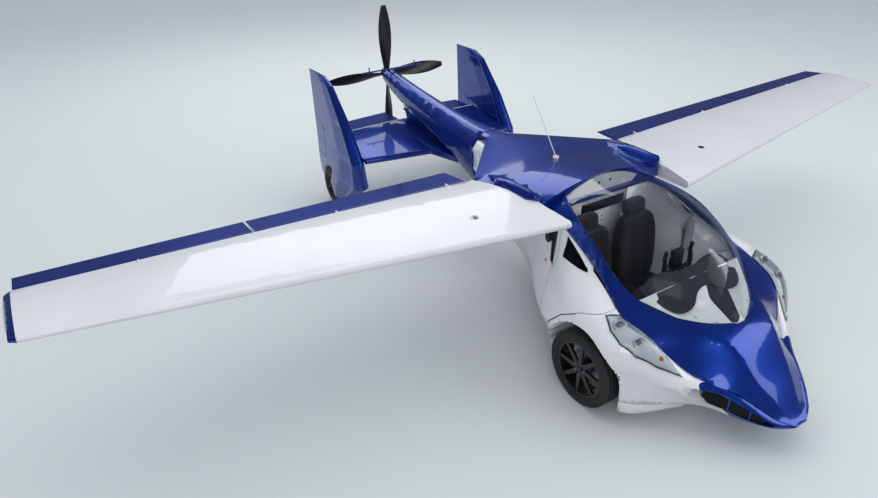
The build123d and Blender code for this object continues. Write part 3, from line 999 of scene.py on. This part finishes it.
@dataclass(frozen=True)
class PhotoCamera:
    """The photograph's own view: place, turn in degrees and lens."""

    place: Point = (4.3626, -3.6680, 3.4460)
    yaw: float = 148.512
    pitch: float = 30.245
    roll: float = -0.963
    lens: float = 27.26
    sensor: float = 36.0

    def build(self) -> None:
        """Adds the camera."""
        yaw, pitch, roll = (math.radians(a) for a in (self.yaw, self.pitch, self.roll))
        look = Vector((math.cos(yaw) * math.cos(pitch), math.sin(yaw) * math.cos(pitch), -math.sin(pitch)))
        right = look.cross(Vector((0, 0, 1))).normalized()
        up = right.cross(look)
        level_right = right * math.cos(roll) + up * math.sin(roll)
        level_up = up * math.cos(roll) - right * math.sin(roll)
        bpy.ops.object.camera_add()
        camera = bpy.context.view_layer.objects.active
        turn = Matrix((level_right, level_up, -look)).transposed().to_4x4()
        camera.matrix_world = Matrix.Translation(self.place) @ turn
        camera.data.lens = self.lens
        camera.data.sensor_width = self.sensor
        camera.data.dof.use_dof = False
        bpy.context.scene.camera = camera
        log.info("camera set")


@dataclass(frozen=True)
class AreaLamp:
    """One soft area light aimed at a point; gloss shows it only where mirrored is set."""

    name: str
    place: Point
    aim: Point
    size: tuple[float, float]
    power: float
    colour: Point = (1.0, 1.0, 1.0)
    mirrored: bool = True

    def build(self) -> None:
        """Adds the light."""
        bpy.ops.object.light_add(type="AREA", location=self.place)
        lamp = bpy.context.view_layer.objects.active
        lamp.name = self.name
        lamp.rotation_euler = (Vector(self.aim) - Vector(self.place)).to_track_quat("-Z", "Y").to_euler()
        lamp.data.shape = "RECTANGLE"
        lamp.data.size, lamp.data.size_y = self.size
        lamp.data.energy = self.power
        lamp.data.color = self.colour
        lamp.visible_glossy = self.mirrored


@dataclass
class Studio:
    """Pale floor, soft lights, plain air and view settings."""

    floor_half: float = 60.0
    lamps: tuple[AreaLamp, ...] = (
        AreaLamp("ceiling", (-2.0, 1.5, 12.0), (-1.0, 0.5, 0.0), (18.0, 14.0), 520.0, mirrored=False),
        AreaLamp("window", (7.0, 6.0, 6.0), (0.5, 0.0, 0.5), (7.0, 4.0), 190.0, (0.95, 0.98, 1.0)),
        AreaLamp("front", (7.5, -5.0, 5.0), (1.5, 0.0, 0.5), (3.0, 3.0), 90.0),
        AreaLamp("rear", (-8.0, 2.0, 7.0), (-1.5, 0.0, 0.8), (8.0, 5.0), 200.0, (0.97, 0.99, 1.0)),
    )
    air: tuple[Colour, float] = ((0.80, 0.84, 0.92, 1.0), 0.74)
    gloss_air: tuple[Colour, float] = ((0.22, 0.26, 0.42, 1.0), 0.35)

    def hall(self) -> None:
        """Even pale air, darker where gloss mirrors it so that the blue stays deep."""
        g = Graph("hall", world=True)
        airs = [
            g.node("ShaderNodeBackground", {}, {"Color": colour, "Strength": strength}, "Background")
            for colour, strength in (self.air, self.gloss_air)
        ]
        mirrored = g.node("ShaderNodeLightPath", {}, {}, "Is Glossy Ray")
        blend = g.node("ShaderNodeMixShader", {}, {0: mirrored, 1: airs[0], 2: airs[1]}, "Shader")
        g.put(g.output.inputs["Surface"], blend)
        bpy.context.scene.world = g.material

    def build(self) -> None:
        """Adds floor, lights and air."""
        bpy.ops.mesh.primitive_plane_add(size=2 * self.floor_half)
        floor = Bench.named("floor")
        floor.data.materials.append(WARDROBE.get(Floor("pale_floor")))
        for lamp in self.lamps:
            lamp.build()
        self.hall()
        scene = bpy.context.scene
        scene.view_settings.view_transform = "Standard"
        scene.view_settings.look = "None"
        log.info("studio set")


@dataclass
class Headlamps:
    """Long lens on each fender with two projectors and an amber lamp."""

    skin: Skin
    outline: tuple[tuple[float, float], ...] = (
        (1.833, 0.800), (1.873, 0.710), (1.970, 0.690), (2.070, 0.664), (2.160, 0.630), (2.240, 0.600),
        (2.330, 0.562), (2.225, 0.700), (2.125, 0.800), (2.027, 0.848), (1.930, 0.846),
    )
    projectors: tuple[Point, ...] = ((1.945, 0.775, 0.050), (2.095, 0.745, 0.046))
    amber: Point = (2.215, 0.652, 0.020)
    rings: int = 7
    edge_steps: int = 4
    wall: float = 0.002
    gasket_wall: float = 0.003
    above: float = 1.3
    forward: Point = (0.9, 0.15, 0.1)

    def under(self, x: float, y: float) -> tuple[Vector, Vector]:
        """Fender point below (x, y), and its normal."""
        return self.skin.hit((x, y, self.above), (0, 0, -1))

    def drop(self, x: float, y: float, lift: float) -> Vector:
        """A point on the fender below (x, y), lifted along its normal."""
        where, normal = self.under(x, y)
        return where + normal * lift

    def plate(self, name: str, shrink: float, lift: float, crown: float, wall: float) -> bpy.types.Object:
        """A filled outline that lies on the fender.

        Args:
            name: Name of the piece.
            shrink: Share by which the outline draws in.
            lift: Metres off the fender at the edge.
            crown: Metres more in the middle.
            wall: Thickness.

        Returns:
            The object.
        """
        cx = sum(p[0] for p in self.outline) / len(self.outline)
        cy = sum(p[1] for p in self.outline) / len(self.outline)
        steps = self.edge_steps
        edge = []
        for i in range(len(self.outline) * steps):
            k, t = divmod(i, steps)
            a, b = self.outline[k], self.outline[(k + 1) % len(self.outline)]
            edge.append((a[0] + (b[0] - a[0]) * t / steps, a[1] + (b[1] - a[1]) * t / steps))
        loops = []
        for r in range(1, self.rings + 1):
            k = r / self.rings
            size = k * (1 - shrink)
            rise = lift + crown * (1 - k * k)
            loops.append([self.drop(cx + (x - cx) * size, cy + (y - cy) * size, rise) for x, y in edge])
        obj = Bench.rings(name, self.drop(cx, cy, lift + crown), loops)
        Bench.faces(obj, lambda c, n: True)
        bpy.ops.mesh.normals_make_consistent(inside=False)
        Bench.done()
        return Bench.modify(Bench.smooth(obj, 60.0), "SOLIDIFY", thickness=wall, offset=0)

    def projector(self, name: str, x: float, y: float, r: float) -> list[tuple[bpy.types.Object, object]]:
        """A bright ring, a glass eye and its bezel.

        Args:
            name: Start of the pieces' names.
            x: Place along the vehicle.
            y: Place across it.
            r: Radius of the ring.

        Returns:
            Each piece with its finish.
        """
        base, up = self.under(x, y)
        base = base + up * 0.001
        way = tuple((up + Vector(self.forward)).normalized())
        ring = [(r, -0.012), (r, 0.006), (r * 0.94, 0.011), (r * 0.80, 0.008), (r * 0.74, -0.004),
                (r * 0.70, -0.012)]
        eye = [(0.0, 0.010), (r * 0.28, 0.009), (r * 0.50, 0.004), (r * 0.64, -0.004), (r * 0.72, -0.014)]
        bezel = [(r * 0.30, 0.0125), (r * 0.36, 0.0125), (r * 0.36, 0.009), (r * 0.30, 0.009),
                 (r * 0.30, 0.0125)]
        return [
            (Bench.lathe(name + "_ring_left", ring, base, way, 40), SILVER),
            (Bench.lathe(name + "_eye_left", eye, base, way, 40), LINER_LAMP),
            (Bench.lathe(name + "_bezel_left", bezel, base, way, 32), STEEL),
        ]

    def build(self) -> None:
        """Makes both lamps."""
        fit_pair(self.plate("lamp_gasket_left", -0.02, 0.0020, 0.0, self.gasket_wall), GLOSS_BLACK)
        fit_pair(self.plate("lamp_bowl_left", 0.035, 0.0050, 0.002, self.wall), WHITE_BOWL)
        for i, (x, y, r) in enumerate(self.projectors):
            for obj, finish in self.projector(f"projector_{i + 1}", x, y, r):
                fit_pair(obj, finish)
        x, y, r = self.amber
        _, up = self.under(x, y)
        bulb = [(0, 0.008), (r * 0.6, 0.007), (r, 0.0), (r, -0.006)]
        fit_pair(Bench.lathe("amber_lamp_left", bulb, self.drop(x, y, 0.004), tuple(up), 24), AMBER)
        fit_pair(self.plate("lamp_cover_left", -0.012, 0.010, 0.014, self.wall), LENS)


@dataclass
class NoseIntake:
    """Near-black matte sheet on the nose skin below the shoulder, painted shade standing in for the dark
    inside of the intake opening, with two blue upright vanes.
    """

    skin: Skin
    upper: tuple[Point, ...] = (
        (2.410, 0.468, 0.436), (2.517, 0.391, 0.400), (2.649, 0.296, 0.348), (2.761, 0.221, 0.279),
    )
    lower: tuple[Point, ...] = (
        (2.450, 0.400, 0.300), (2.570, 0.340, 0.270), (2.670, 0.290, 0.262), (2.790, 0.212, 0.238),
    )
    vanes: tuple[float, float] = (0.36, 0.72)
    lift: float = 0.0025
    vane_lift: float = 0.006
    vane_lean: float = 0.03
    vane_radius: float = 0.007

    @staticmethod
    def along(line: tuple[Point, ...], u: float) -> Vector:
        """Walks along a line of corners, each stretch an equal share.

        Args:
            line: Corners of the line.
            u: Share from 0 to 1.

        Returns:
            The point there.
        """
        k = min(int(u * (len(line) - 1)), len(line) - 2)
        t = u * (len(line) - 1) - k
        return Vector(line[k]).lerp(Vector(line[k + 1]), t)

    def spot(self, u: float, v: float, lift: float) -> Vector:
        """A point of the painted-shade sheet over the intake opening, brought on to the skin and lifted off
        it.

        Args:
            u: Share from the rear corner to the front one.
            v: Share from the lower lip to the upper one.
            lift: Metres off the skin.

        Returns:
            The point.
        """
        span = math.sin(math.pi * min(1.0, max(0.0, u))) ** 0.35
        middle = (self.along(self.upper, u) + self.along(self.lower, u)) / 2
        half = (self.along(self.upper, u) - self.along(self.lower, u)) / 2
        return self.skin.near(middle + half * (2 * v - 1) * span, lift)

    def build(self) -> None:
        """Makes the painted-shade sheet and the vanes on both sides."""
        # Painted shade: a dark sheet lying on the skin stands for the shaded intake opening.
        shade_sheet = Bench.patch("intake_mouth_left", 40, 12, lambda u, v: self.spot(u, v, self.lift))
        fit_pair(Bench.smooth(shade_sheet, 60.0), INTAKE_SHADE)
        for i, at in enumerate(self.vanes):
            heights = (0.0, 0.25, 0.5, 0.75, 1.0)
            line = [self.spot(at + self.vane_lean * (1 - v), v, self.vane_lift) for v in heights]
            fit_pair(Bench.tube(f"intake_vane_{i + 1}_left", line, self.vane_radius), BLUE)


@dataclass
class FrontDeck:
    """White panel, dark pad and demister slots under the front of the screen."""

    edge: tuple[Point, ...] = (
        (1.85, 0.527, 0.806), (2.08, 0.371, 0.724), (2.20, 0.244, 0.706), (2.28, 0.118, 0.692),
        (2.318, 0.03, 0.688),
    )
    pad_outline: tuple[tuple[float, float], ...] = (
        (1.905, 0.100), (1.915, 0.187), (2.058, 0.192), (2.281, 0.039), (2.312, -0.030), (2.290, -0.066),
        (2.038, -0.001),
    )
    slots: tuple[Point, ...] = (
        (2.105, -0.262, 0.28), (2.215, -0.175, 0.55), (2.245, 0.150, -0.75), (2.165, 0.245, -0.5),
    )
    rear_x: float = 1.86
    front_x: float = 2.314
    wall: float = 0.006
    pad_bevel: float = 0.012
    slot_half: float = 0.045
    slot_radius: float = 0.0035
    slot_dip: float = -0.08

    def level(self, x: float) -> tuple[float, float]:
        """Reads the panel's edge table.

        Args:
            x: Place along the vehicle.

        Returns:
            Half width and height of the panel there.
        """
        rows = self.edge
        for a, b in zip(rows, rows[1:]):
            if x <= b[0]:
                k = max(0.0, (x - a[0]) / (b[0] - a[0]))
                return a[1] + (b[1] - a[1]) * k, a[2] + (b[2] - a[2]) * k
        return rows[-1][1], rows[-1][2]

    def spot(self, u: float, v: float) -> Point:
        """Point of the panel; rows crowd towards the front, where it narrows."""
        x = self.rear_x + (self.front_x - self.rear_x) * (1 - (1 - v) ** 1.4)
        half, z = self.level(x)
        return (x, (2 * u - 1) * half, z)

    def build(self) -> None:
        """Makes panel, pad and slots."""
        panel = Bench.patch("front_panel", 32, 30, self.spot)
        fit(Bench.smooth(Bench.modify(panel, "SOLIDIFY", thickness=self.wall, offset=-1)), LINER)
        corners = [(x, y, self.level(x)[1]) for x, y in self.pad_outline]
        pad = Bench.new("front_pad", corners, [tuple(range(len(corners)))])
        Bench.faces(pad, lambda c, n: True)
        bpy.ops.mesh.extrude_region_move(TRANSFORM_OT_translate={"value": (0, 0, self.wall)})
        bpy.ops.mesh.select_all(action="SELECT")
        bpy.ops.mesh.normals_make_consistent(inside=False)
        Bench.done()
        Bench.modify(pad, "BEVEL", width=self.pad_bevel, segments=3, affect="EDGES")
        fit(Bench.smooth(pad, 50.0), SLATE)
        for i, (x, y, turn) in enumerate(self.slots):
            way = Vector((math.cos(turn), math.sin(turn), self.slot_dip)) * self.slot_half
            mid = Vector((x, y, self.level(x)[1] + 0.002))
            fit(Bench.tube(f"demister_slot_{i + 1}", [mid - way, mid, mid + way], self.slot_radius), BLACK)


@dataclass
class Cabin:
    """Leather seats and the panels on the bulkhead between them."""

    back_box: tuple[Point, Point] = ((1.055, 0.035, 0.30), (1.165, 0.475, 0.93))
    base_box: tuple[Point, Point] = ((1.03, 0.035, 0.235), (1.545, 0.475, 0.345))
    head_box: tuple[Point, Point] = ((0.985, 0.150, 0.90), (1.065, 0.375, 1.035))
    bar_box: tuple[Point, Point] = ((0.9005, -0.30, 0.965), (0.915, 0.30, 1.055))
    plate_box: tuple[Point, Point] = ((0.9005, -0.115, 0.60), (0.910, 0.115, 0.955))
    holes: tuple[tuple[float, float], ...] = ((-0.03, 0.90), (0.03, 0.90), (-0.03, 0.86), (0.03, 0.86))
    hole_radius: float = 0.006
    firm: float = 0.8
    head_firm: float = 0.7

    @staticmethod
    def cushion(name: str, box: tuple[Point, Point], shape: Callable[[Vector], Vector],
                cuts: int = 9) -> bpy.types.Object:
        """A crowned closed pad: a cube subdivided, pushed to shape, then smoothed.

        Args:
            name: Name of the piece.
            box: Lowest and highest corner.
            shape: Moves a point of the cube from -1 to 1.
            cuts: Cuts of each face.

        Returns:
            The object.
        """
        obj = Bench.block(name, (-1, -1, -1), (1, 1, 1))
        Bench.faces(obj, lambda c, n: True)
        bpy.ops.mesh.subdivide(number_cuts=cuts)
        Bench.done()
        low, high = box
        middle = (Vector(low) + Vector(high)) / 2
        half = (Vector(high) - Vector(low)) / 2
        for v in obj.data.vertices:
            q = v.co.copy()
            pull = 1 - 0.10 * (q.x ** 4 + q.y ** 4 + q.z ** 4 - max(abs(q.x), abs(q.y), abs(q.z)) ** 4)
            q = shape(q * pull)
            v.co = middle + Vector((q.x * half.x, q.y * half.y, q.z * half.z))
        Bench.modify(obj, "SUBSURF", levels=1)
        return Bench.smooth(obj, 80.0)

    @staticmethod
    def channels(y: float, at: float) -> float:
        """Depth from 0 to 1 of the two sewn channels at y."""
        return sum(math.exp(-((y - c) / 0.045) ** 2) for c in (-at, at))

    @staticmethod
    def back(q: Vector) -> Vector:
        """Shape of the backrest: side wings, channels, ribs and a backward lean."""
        rib = 0.03 * math.cos(q.y * 26.0) if abs(q.y) < 0.36 else 0.0
        bolster = 0.55 * max(0.0, abs(q.y) - 0.45)
        channel = 0.10 * Cabin.channels(q.y, 0.42)
        q.x = q.x + (bolster - channel + rib) * max(0.0, q.x) - 0.95 * (q.z + 1.0) * 0.5
        q.y *= 1.0 - 0.20 * max(0.0, q.z) ** 2
        return q

    @staticmethod
    def base(q: Vector) -> Vector:
        """Shape of the seat cushion: raised sides, channels and a rise to the front."""
        channel = 0.16 * Cabin.channels(q.y, 0.45)
        q.z = q.z + (0.30 * max(0.0, abs(q.y) - 0.5) - channel) * max(0.0, q.z) + 0.22 * (q.x - 0.2)
        return q

    @staticmethod
    def head(q: Vector) -> Vector:
        """Shape of the headrest: narrower below and leaning back."""
        q.y *= 1.0 - 0.14 * max(0.0, -q.z)
        q.x -= 0.25 * q.z
        return q

    def seats(self) -> None:
        """Makes both seats in three leather pads each."""
        made = (
            (self.cushion("seat_back_left", self.back_box, self.back, 15), self.firm),
            (self.cushion("seat_base_left", self.base_box, self.base, 13), self.firm),
            (self.cushion("seat_headrest_left", self.head_box, self.head), self.head_firm),
        )
        for obj, fill in made:
            pair = fit_pair(obj, LEATHER)
            if "back" in obj.name:
                for piece, node in zip(pair, ("seat_left", "seat_right")):
                    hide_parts(node)

    def build(self) -> None:
        """Makes the cabin's fittings."""
        self.seats()
        fit(Bench.block("bulkhead_bar", *self.bar_box, 0.006), GLOSS_BLACK)
        fit(Bench.block("bulkhead_plate", *self.plate_box, 0.004), LINER)
        r = self.hole_radius
        disc = [(0, 0.003), (r, 0.003), (r, 0)]
        face = self.plate_box[1][0]
        for i, (y, z) in enumerate(self.holes):
            fit(Bench.lathe(f"plate_hole_{i + 1}", disc, (face, y, z), (1, 0, 0), 16), BLACK)


@dataclass
class DashPad:
    """Dark two-lobed anti-glare pad, and the yoke's control box, grips and steel screws."""

    deck: FrontDeck
    outline: tuple[tuple[float, float], ...] = (
        (1.72, -0.307), (1.79, -0.385), (1.90, -0.425), (2.01, -0.395), (2.085, -0.340), (2.080, -0.190),
        (1.975, -0.060), (1.945, 0.084), (2.055, 0.155), (2.070, 0.300), (1.940, 0.420), (1.820, 0.450),
        (1.730, 0.420), (1.715, 0.300), (1.780, 0.110), (1.770, -0.040), (1.705, -0.130),
    )
    middle: tuple[float, float] = (1.87, 0.02)
    rings: int = 8
    edge_steps: int = 5
    wall: float = 0.008
    dash_top: float = 0.822
    dash_front: float = 1.76
    dash_slope: float = 0.23
    lift: float = 0.006
    edge_drop: float = 0.004
    yoke_box: tuple[Point, Point] = ((1.500, 0.205, 0.632), (1.548, 0.315, 0.800))
    screws: tuple[tuple[float, float], ...] = ((0.16, 0.775), (0.36, 0.775), (0.26, 0.79))
    grips: tuple[tuple[str, float], ...] = (("inner", 0.114), ("outer", 0.406))
    grip_radius: float = 0.017

    def level(self, x: float) -> float:
        """Height of what the pad lies on: the dashboard, then the front panel."""
        dash = self.dash_top - self.dash_slope * max(0.0, x - self.dash_front)
        return max(dash, self.deck.level(x)[1] + 0.002) if x > self.deck.rear_x else dash

    def rim(self) -> list[Vector]:
        """Rounds the outline's corners.

        Returns:
            Points around the pad.
        """
        n, steps = len(self.outline), self.edge_steps
        rounded = []
        for i in range(n * steps):
            k, t = divmod(i, steps)
            a, b, c = (Vector(self.outline[(k + j) % n]) for j in (0, 1, 2))
            t = t / steps
            rounded.append(((a + b) / 2) * (1 - t) ** 2 + b * 2 * t * (1 - t) + ((b + c) / 2) * t ** 2)
        return rounded

    def pad(self) -> None:
        """Makes the pad, thinner towards its edge."""
        cx, cy = self.middle
        rim, loops = self.rim(), []
        for r in range(1, self.rings + 1):
            k = r / self.rings
            spots = [(cx + (p.x - cx) * k, cy + (p.y - cy) * k) for p in rim]
            loops.append([(x, y, self.level(x) + self.lift - self.edge_drop * k ** 8) for x, y in spots])
        pad = Bench.rings("dash_pad", (cx, cy, self.level(cx) + self.lift), loops)
        fit(Bench.smooth(Bench.modify(pad, "SOLIDIFY", thickness=self.wall, offset=-1), 40.0), SLATE)

    def build(self) -> None:
        """Makes the pad and the yoke's fittings."""
        self.pad()
        head = [(0, 0.006), (0.008, 0.005), (0.010, 0), (0.010, -0.006)]
        for i, (y, z) in enumerate(self.screws):
            fit(Bench.lathe(f"yoke_screw_{i + 1}", head, (1.538, y, z), (-1, 0, 0.35), 20), STEEL)
        fit(Bench.block("yoke_box", *self.yoke_box, 0.008), BLACK)
        for side, y in self.grips:
            line = [(1.548, y, 0.690), (1.530, y, 0.76), (1.538, y, 0.825)]
            fit(Bench.tube(f"yoke_grip_{side}", line, self.grip_radius), LEATHER)


@dataclass
class Wheels:
    """Grooved tyres, hub bolts and caps, and brake discs."""

    front: Point = (1.750, 0.848, 0.295)
    rear: Point = (-2.300, 0.985, 0.215)
    hub_depth: float = 0.0585
    disc_y: float = 0.8295
    bolts: int = 5
    bolt_circle: float = 0.040

    @staticmethod
    def tyre(stem: str, centre: Point, radii: tuple[float, float], half: float, grooves: int,
             deep: float) -> None:
        """A grooved tyre that stands for the CAD one, and its mirror.

        Args:
            stem: Name of the CAD node without the side.
            centre: Centre of the left wheel.
            radii: Inner and outer radius.
            half: Half of the width.
            grooves: Number of grooves around the tread.
            deep: Depth of a groove.
        """
        r_in, r_out = radii
        belly = r_in + 0.3 * (r_out - r_in)
        profile = [(r_in, -half + 0.008), (r_in + 0.010, -half + 0.001), (belly, -half - 0.001)]
        profile += [(r_out - 0.026, -half + 0.001), (r_out - 0.010, -half + 0.006)]
        profile.append((r_out - 0.001, -half + 0.018))
        pitch = 2 * (half - 0.018) / grooves
        for k in range(grooves):
            mid = -half + 0.018 + pitch * (k + 0.5)
            wide = 0.004 if grooves < 4 else 0.0045
            profile += [(r_out, mid - wide - 0.001), (r_out - deep, mid - wide + 0.001),
                        (r_out - deep, mid + wide - 0.001), (r_out, mid + wide + 0.001)]
        profile += [(r, -h) for r, h in reversed(profile[:6])]
        profile.append((r_in, half - 0.008))
        obj = Bench.lathe(f"{stem}_tread_left", profile, centre, (0, 1, 0), 96)
        twin = Bench.mirrored(obj, f"{stem}_tread_right")
        wheel = stem.replace("_tyre", "_wheel")
        fit(obj, RUBBER, f"{wheel}_left", f"{stem}_left")
        fit(twin, RUBBER, f"{wheel}_right", f"{stem}_right")

    def build(self) -> None:
        """Makes the wheels' details."""
        self.tyre("front_tyre", self.front, (0.216, 0.295), 0.080, 4, 0.008)
        self.tyre("rear_tyre", self.rear, (0.130, 0.215), 0.050, 3, 0.006)
        x, y, z = self.front
        hub_face = y + self.hub_depth
        across = (0, 1, 0)
        wheel = Body.FRONT_WHEEL.value
        bolt = [(0, 0.010), (0.0065, 0.009), (0.0080, 0.006), (0.0080, 0.0)]
        for k in range(self.bolts):
            a = math.tau * k / self.bolts
            spot = (x + self.bolt_circle * math.cos(a), hub_face, z + self.bolt_circle * math.sin(a))
            fit_pair(Bench.lathe(f"hub_bolt_{k + 1}_left", bolt, spot, across, 6), STEEL, wheel)
        cap = [(0, 0.012), (0.018, 0.011), (0.026, 0.006), (0.028, 0.0)]
        fit_pair(Bench.lathe("hub_cap_left", cap, (x, hub_face, z), across, 40), ALLOY, wheel)
        disc = [(0.062, 0.0), (0.132, 0.0), (0.134, -0.004), (0.132, -0.007), (0.062, -0.007), (0.062, 0.0)]
        fit_pair(Bench.lathe("brake_disc_left", disc, (x, self.disc_y, z), across, 72), STEEL, wheel)


@dataclass
class WingFittings:
    """Fuel caps, hinge brackets, tip lamps and pods."""

    skin: Skin
    cap_at: tuple[float, float] = (0.865, 1.22)
    tab_half: float = 0.018
    bracket_x: float = 0.262
    bracket_ys: tuple[float, ...] = (1.06, 2.02, 3.40)
    bracket_half: float = 0.006
    pod_at: Point = (0.42, 4.162, 1.236)
    lamp_at: Point = (0.615, 4.150, 1.238)
    above: float = 1.8

    def on_top(self, x: float, y: float) -> tuple[Vector, Vector]:
        """Wing surface point and normal seen from above."""
        return self.skin.hit((x, y, self.above), (0, 0, -1))

    def fuel_caps(self) -> None:
        """Makes the caps with ring and tab."""
        where, up = self.on_top(*self.cap_at)
        for stem, profile, finish in (
            ("fuel_cap", [(0, 0.003), (0.022, 0.003), (0.027, 0.002), (0.028, -0.002)], STEEL),
            ("fuel_cap_ring", [(0.031, 0.0), (0.031, 0.0025), (0.036, 0.0025), (0.040, -0.001)], WHITE),
        ):
            fit_pair(Bench.lathe(stem + "_left", profile, where, tuple(up), 40), finish)
        reach = Vector((self.tab_half, 0, 0))
        line = [where + up * 0.004 + reach, where + up * 0.005, where + up * 0.004 - reach]
        fit_pair(Bench.tube("fuel_cap_tab_left", line, 0.003), ALLOY)

    def build(self) -> None:
        """Makes both sides."""
        self.fuel_caps()
        for i, y in enumerate(self.bracket_ys):
            spot, _ = self.on_top(self.bracket_x, y)
            low = (spot.x - 0.045, y - self.bracket_half, spot.z - 0.012)
            high = (spot.x + 0.022, y + self.bracket_half, spot.z + 0.006)
            fit_pair(Bench.block(f"hinge_bracket_{i + 1}_left", low, high, 0.003), WHITE)
        pod = [(0, 0.19), (0.008, 0.175), (0.0125, 0.13), (0.0135, 0.0), (0.011, -0.14), (0.005, -0.185),
               (0, -0.19)]
        fit_pair(Bench.lathe("tip_pod_left", pod, self.pod_at, (1, 0, 0), 28), WHITE)
        lamp = [(0, 0.014), (0.008, 0.011), (0.012, 0.0), (0.012, -0.01)]
        x, y, z = self.lamp_at
        fit(Bench.lathe("tip_lamp_left", lamp, (x, y, z), (1, 0.3, 0), 24), RED_LAMP)
        fit(Bench.lathe("tip_lamp_right", lamp, (x, -y, z), (1, -0.3, 0), 24), WHITE_LAMP)


@dataclass
class BodyFittings:
    """Painted shadow below the wing root and marker on the flank, liner behind the seats, elevator seals."""

    skin: Skin
    beside: float = 1.3
    marker_at: tuple[float, float] = (1.085, 0.806)
    liner_half: float = 0.405
    liner_foot: float = 1.02
    liner_top: float = 1.278
    liner_fall: float = 0.105
    hole_ys: tuple[tuple[str, float], ...] = (("left", 0.075), ("right", -0.045))
    hole_radius: float = 0.011
    seal: tuple[Point, Point] = ((-2.264, 0.13, 0.8425), (-2.264, 0.90, 0.8245))

    def on_side(self, x: float, z: float) -> tuple[Vector, Vector]:
        """Flank point and normal seen from the left."""
        return self.skin.hit((x, self.beside, z), (0, -1, 0))

    def recess(self, u: float, v: float) -> Vector:
        """Point of the gloss-black sheet below the wing root, painted shadow of the gap under the wing's
        leading edge.
        """
        x = 0.975 + 0.095 * u
        z = 0.945 + 0.13 * v + 0.03 * (1 - (2 * u - 1) ** 2) * (2 * v - 1)
        where, normal = self.on_side(x, z)
        return where + normal * 0.0015

    def liner(self, u: float, v: float) -> Point:
        """Point of the pale liner behind the screen."""
        across = 2 * u - 1
        top = self.liner_top - self.liner_fall * across ** 2
        z = self.liner_foot + (top - self.liner_foot) * v
        return (0.9065 + 0.004 * (1 - v), across * self.liner_half, z)

    def build(self) -> None:
        """Makes the fittings of body and tail."""
        # Painted shadow: a gloss-black sheet on the flank where the gap under the wing root lies in shade.
        fit_pair(Bench.smooth(Bench.patch("flank_recess_left", 10, 12, self.recess)), GLOSS_BLACK)
        where, out = self.on_side(*self.marker_at)
        marker = [(0, 0.005), (0.010, 0.004), (0.013, 0.0), (0.013, -0.003)]
        fit_pair(Bench.lathe("side_marker_left", marker, where, tuple(out), 28), AMBER)
        panel = Bench.patch("rear_liner", 30, 8, self.liner)
        fit(Bench.smooth(Bench.modify(panel, "SOLIDIFY", thickness=0.003, offset=0)), LINER)
        hole = [(0, 0.002), (self.hole_radius, 0.002), (self.hole_radius, 0)]
        for side, y in self.hole_ys:
            fit(Bench.lathe(f"liner_hole_{side}", hole, (0.910, y, 1.215), (1, 0, 0), 24), BLACK)
        fit_pair(Bench.tube("elevator_seal_left", self.seal, 0.0045), WHITE)


def main() -> None:
    """Builds every sub-assembly in order."""
    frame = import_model()
    PhotoCamera().build()
    Studio().build()
    Bodywork(frame).build()
    outside = Skin(frame, ["fender_left", "nose_and_canopy_frame", "nose_keel", "wing_left", "roof_deck"])
    Headlamps(outside).build()
    NoseIntake(Skin(frame, ["fender_left", "nose_and_canopy_frame", "nose_keel"])).build()
    deck = FrontDeck()
    deck.build()
    DashPad(deck).build()
    Cabin().build()
    Wheels().build()
    WingFittings(outside).build()
    BodyFittings(Skin(frame, ["side_post_left", "door_left"])).build()


if __name__ == "__main__":
    main()
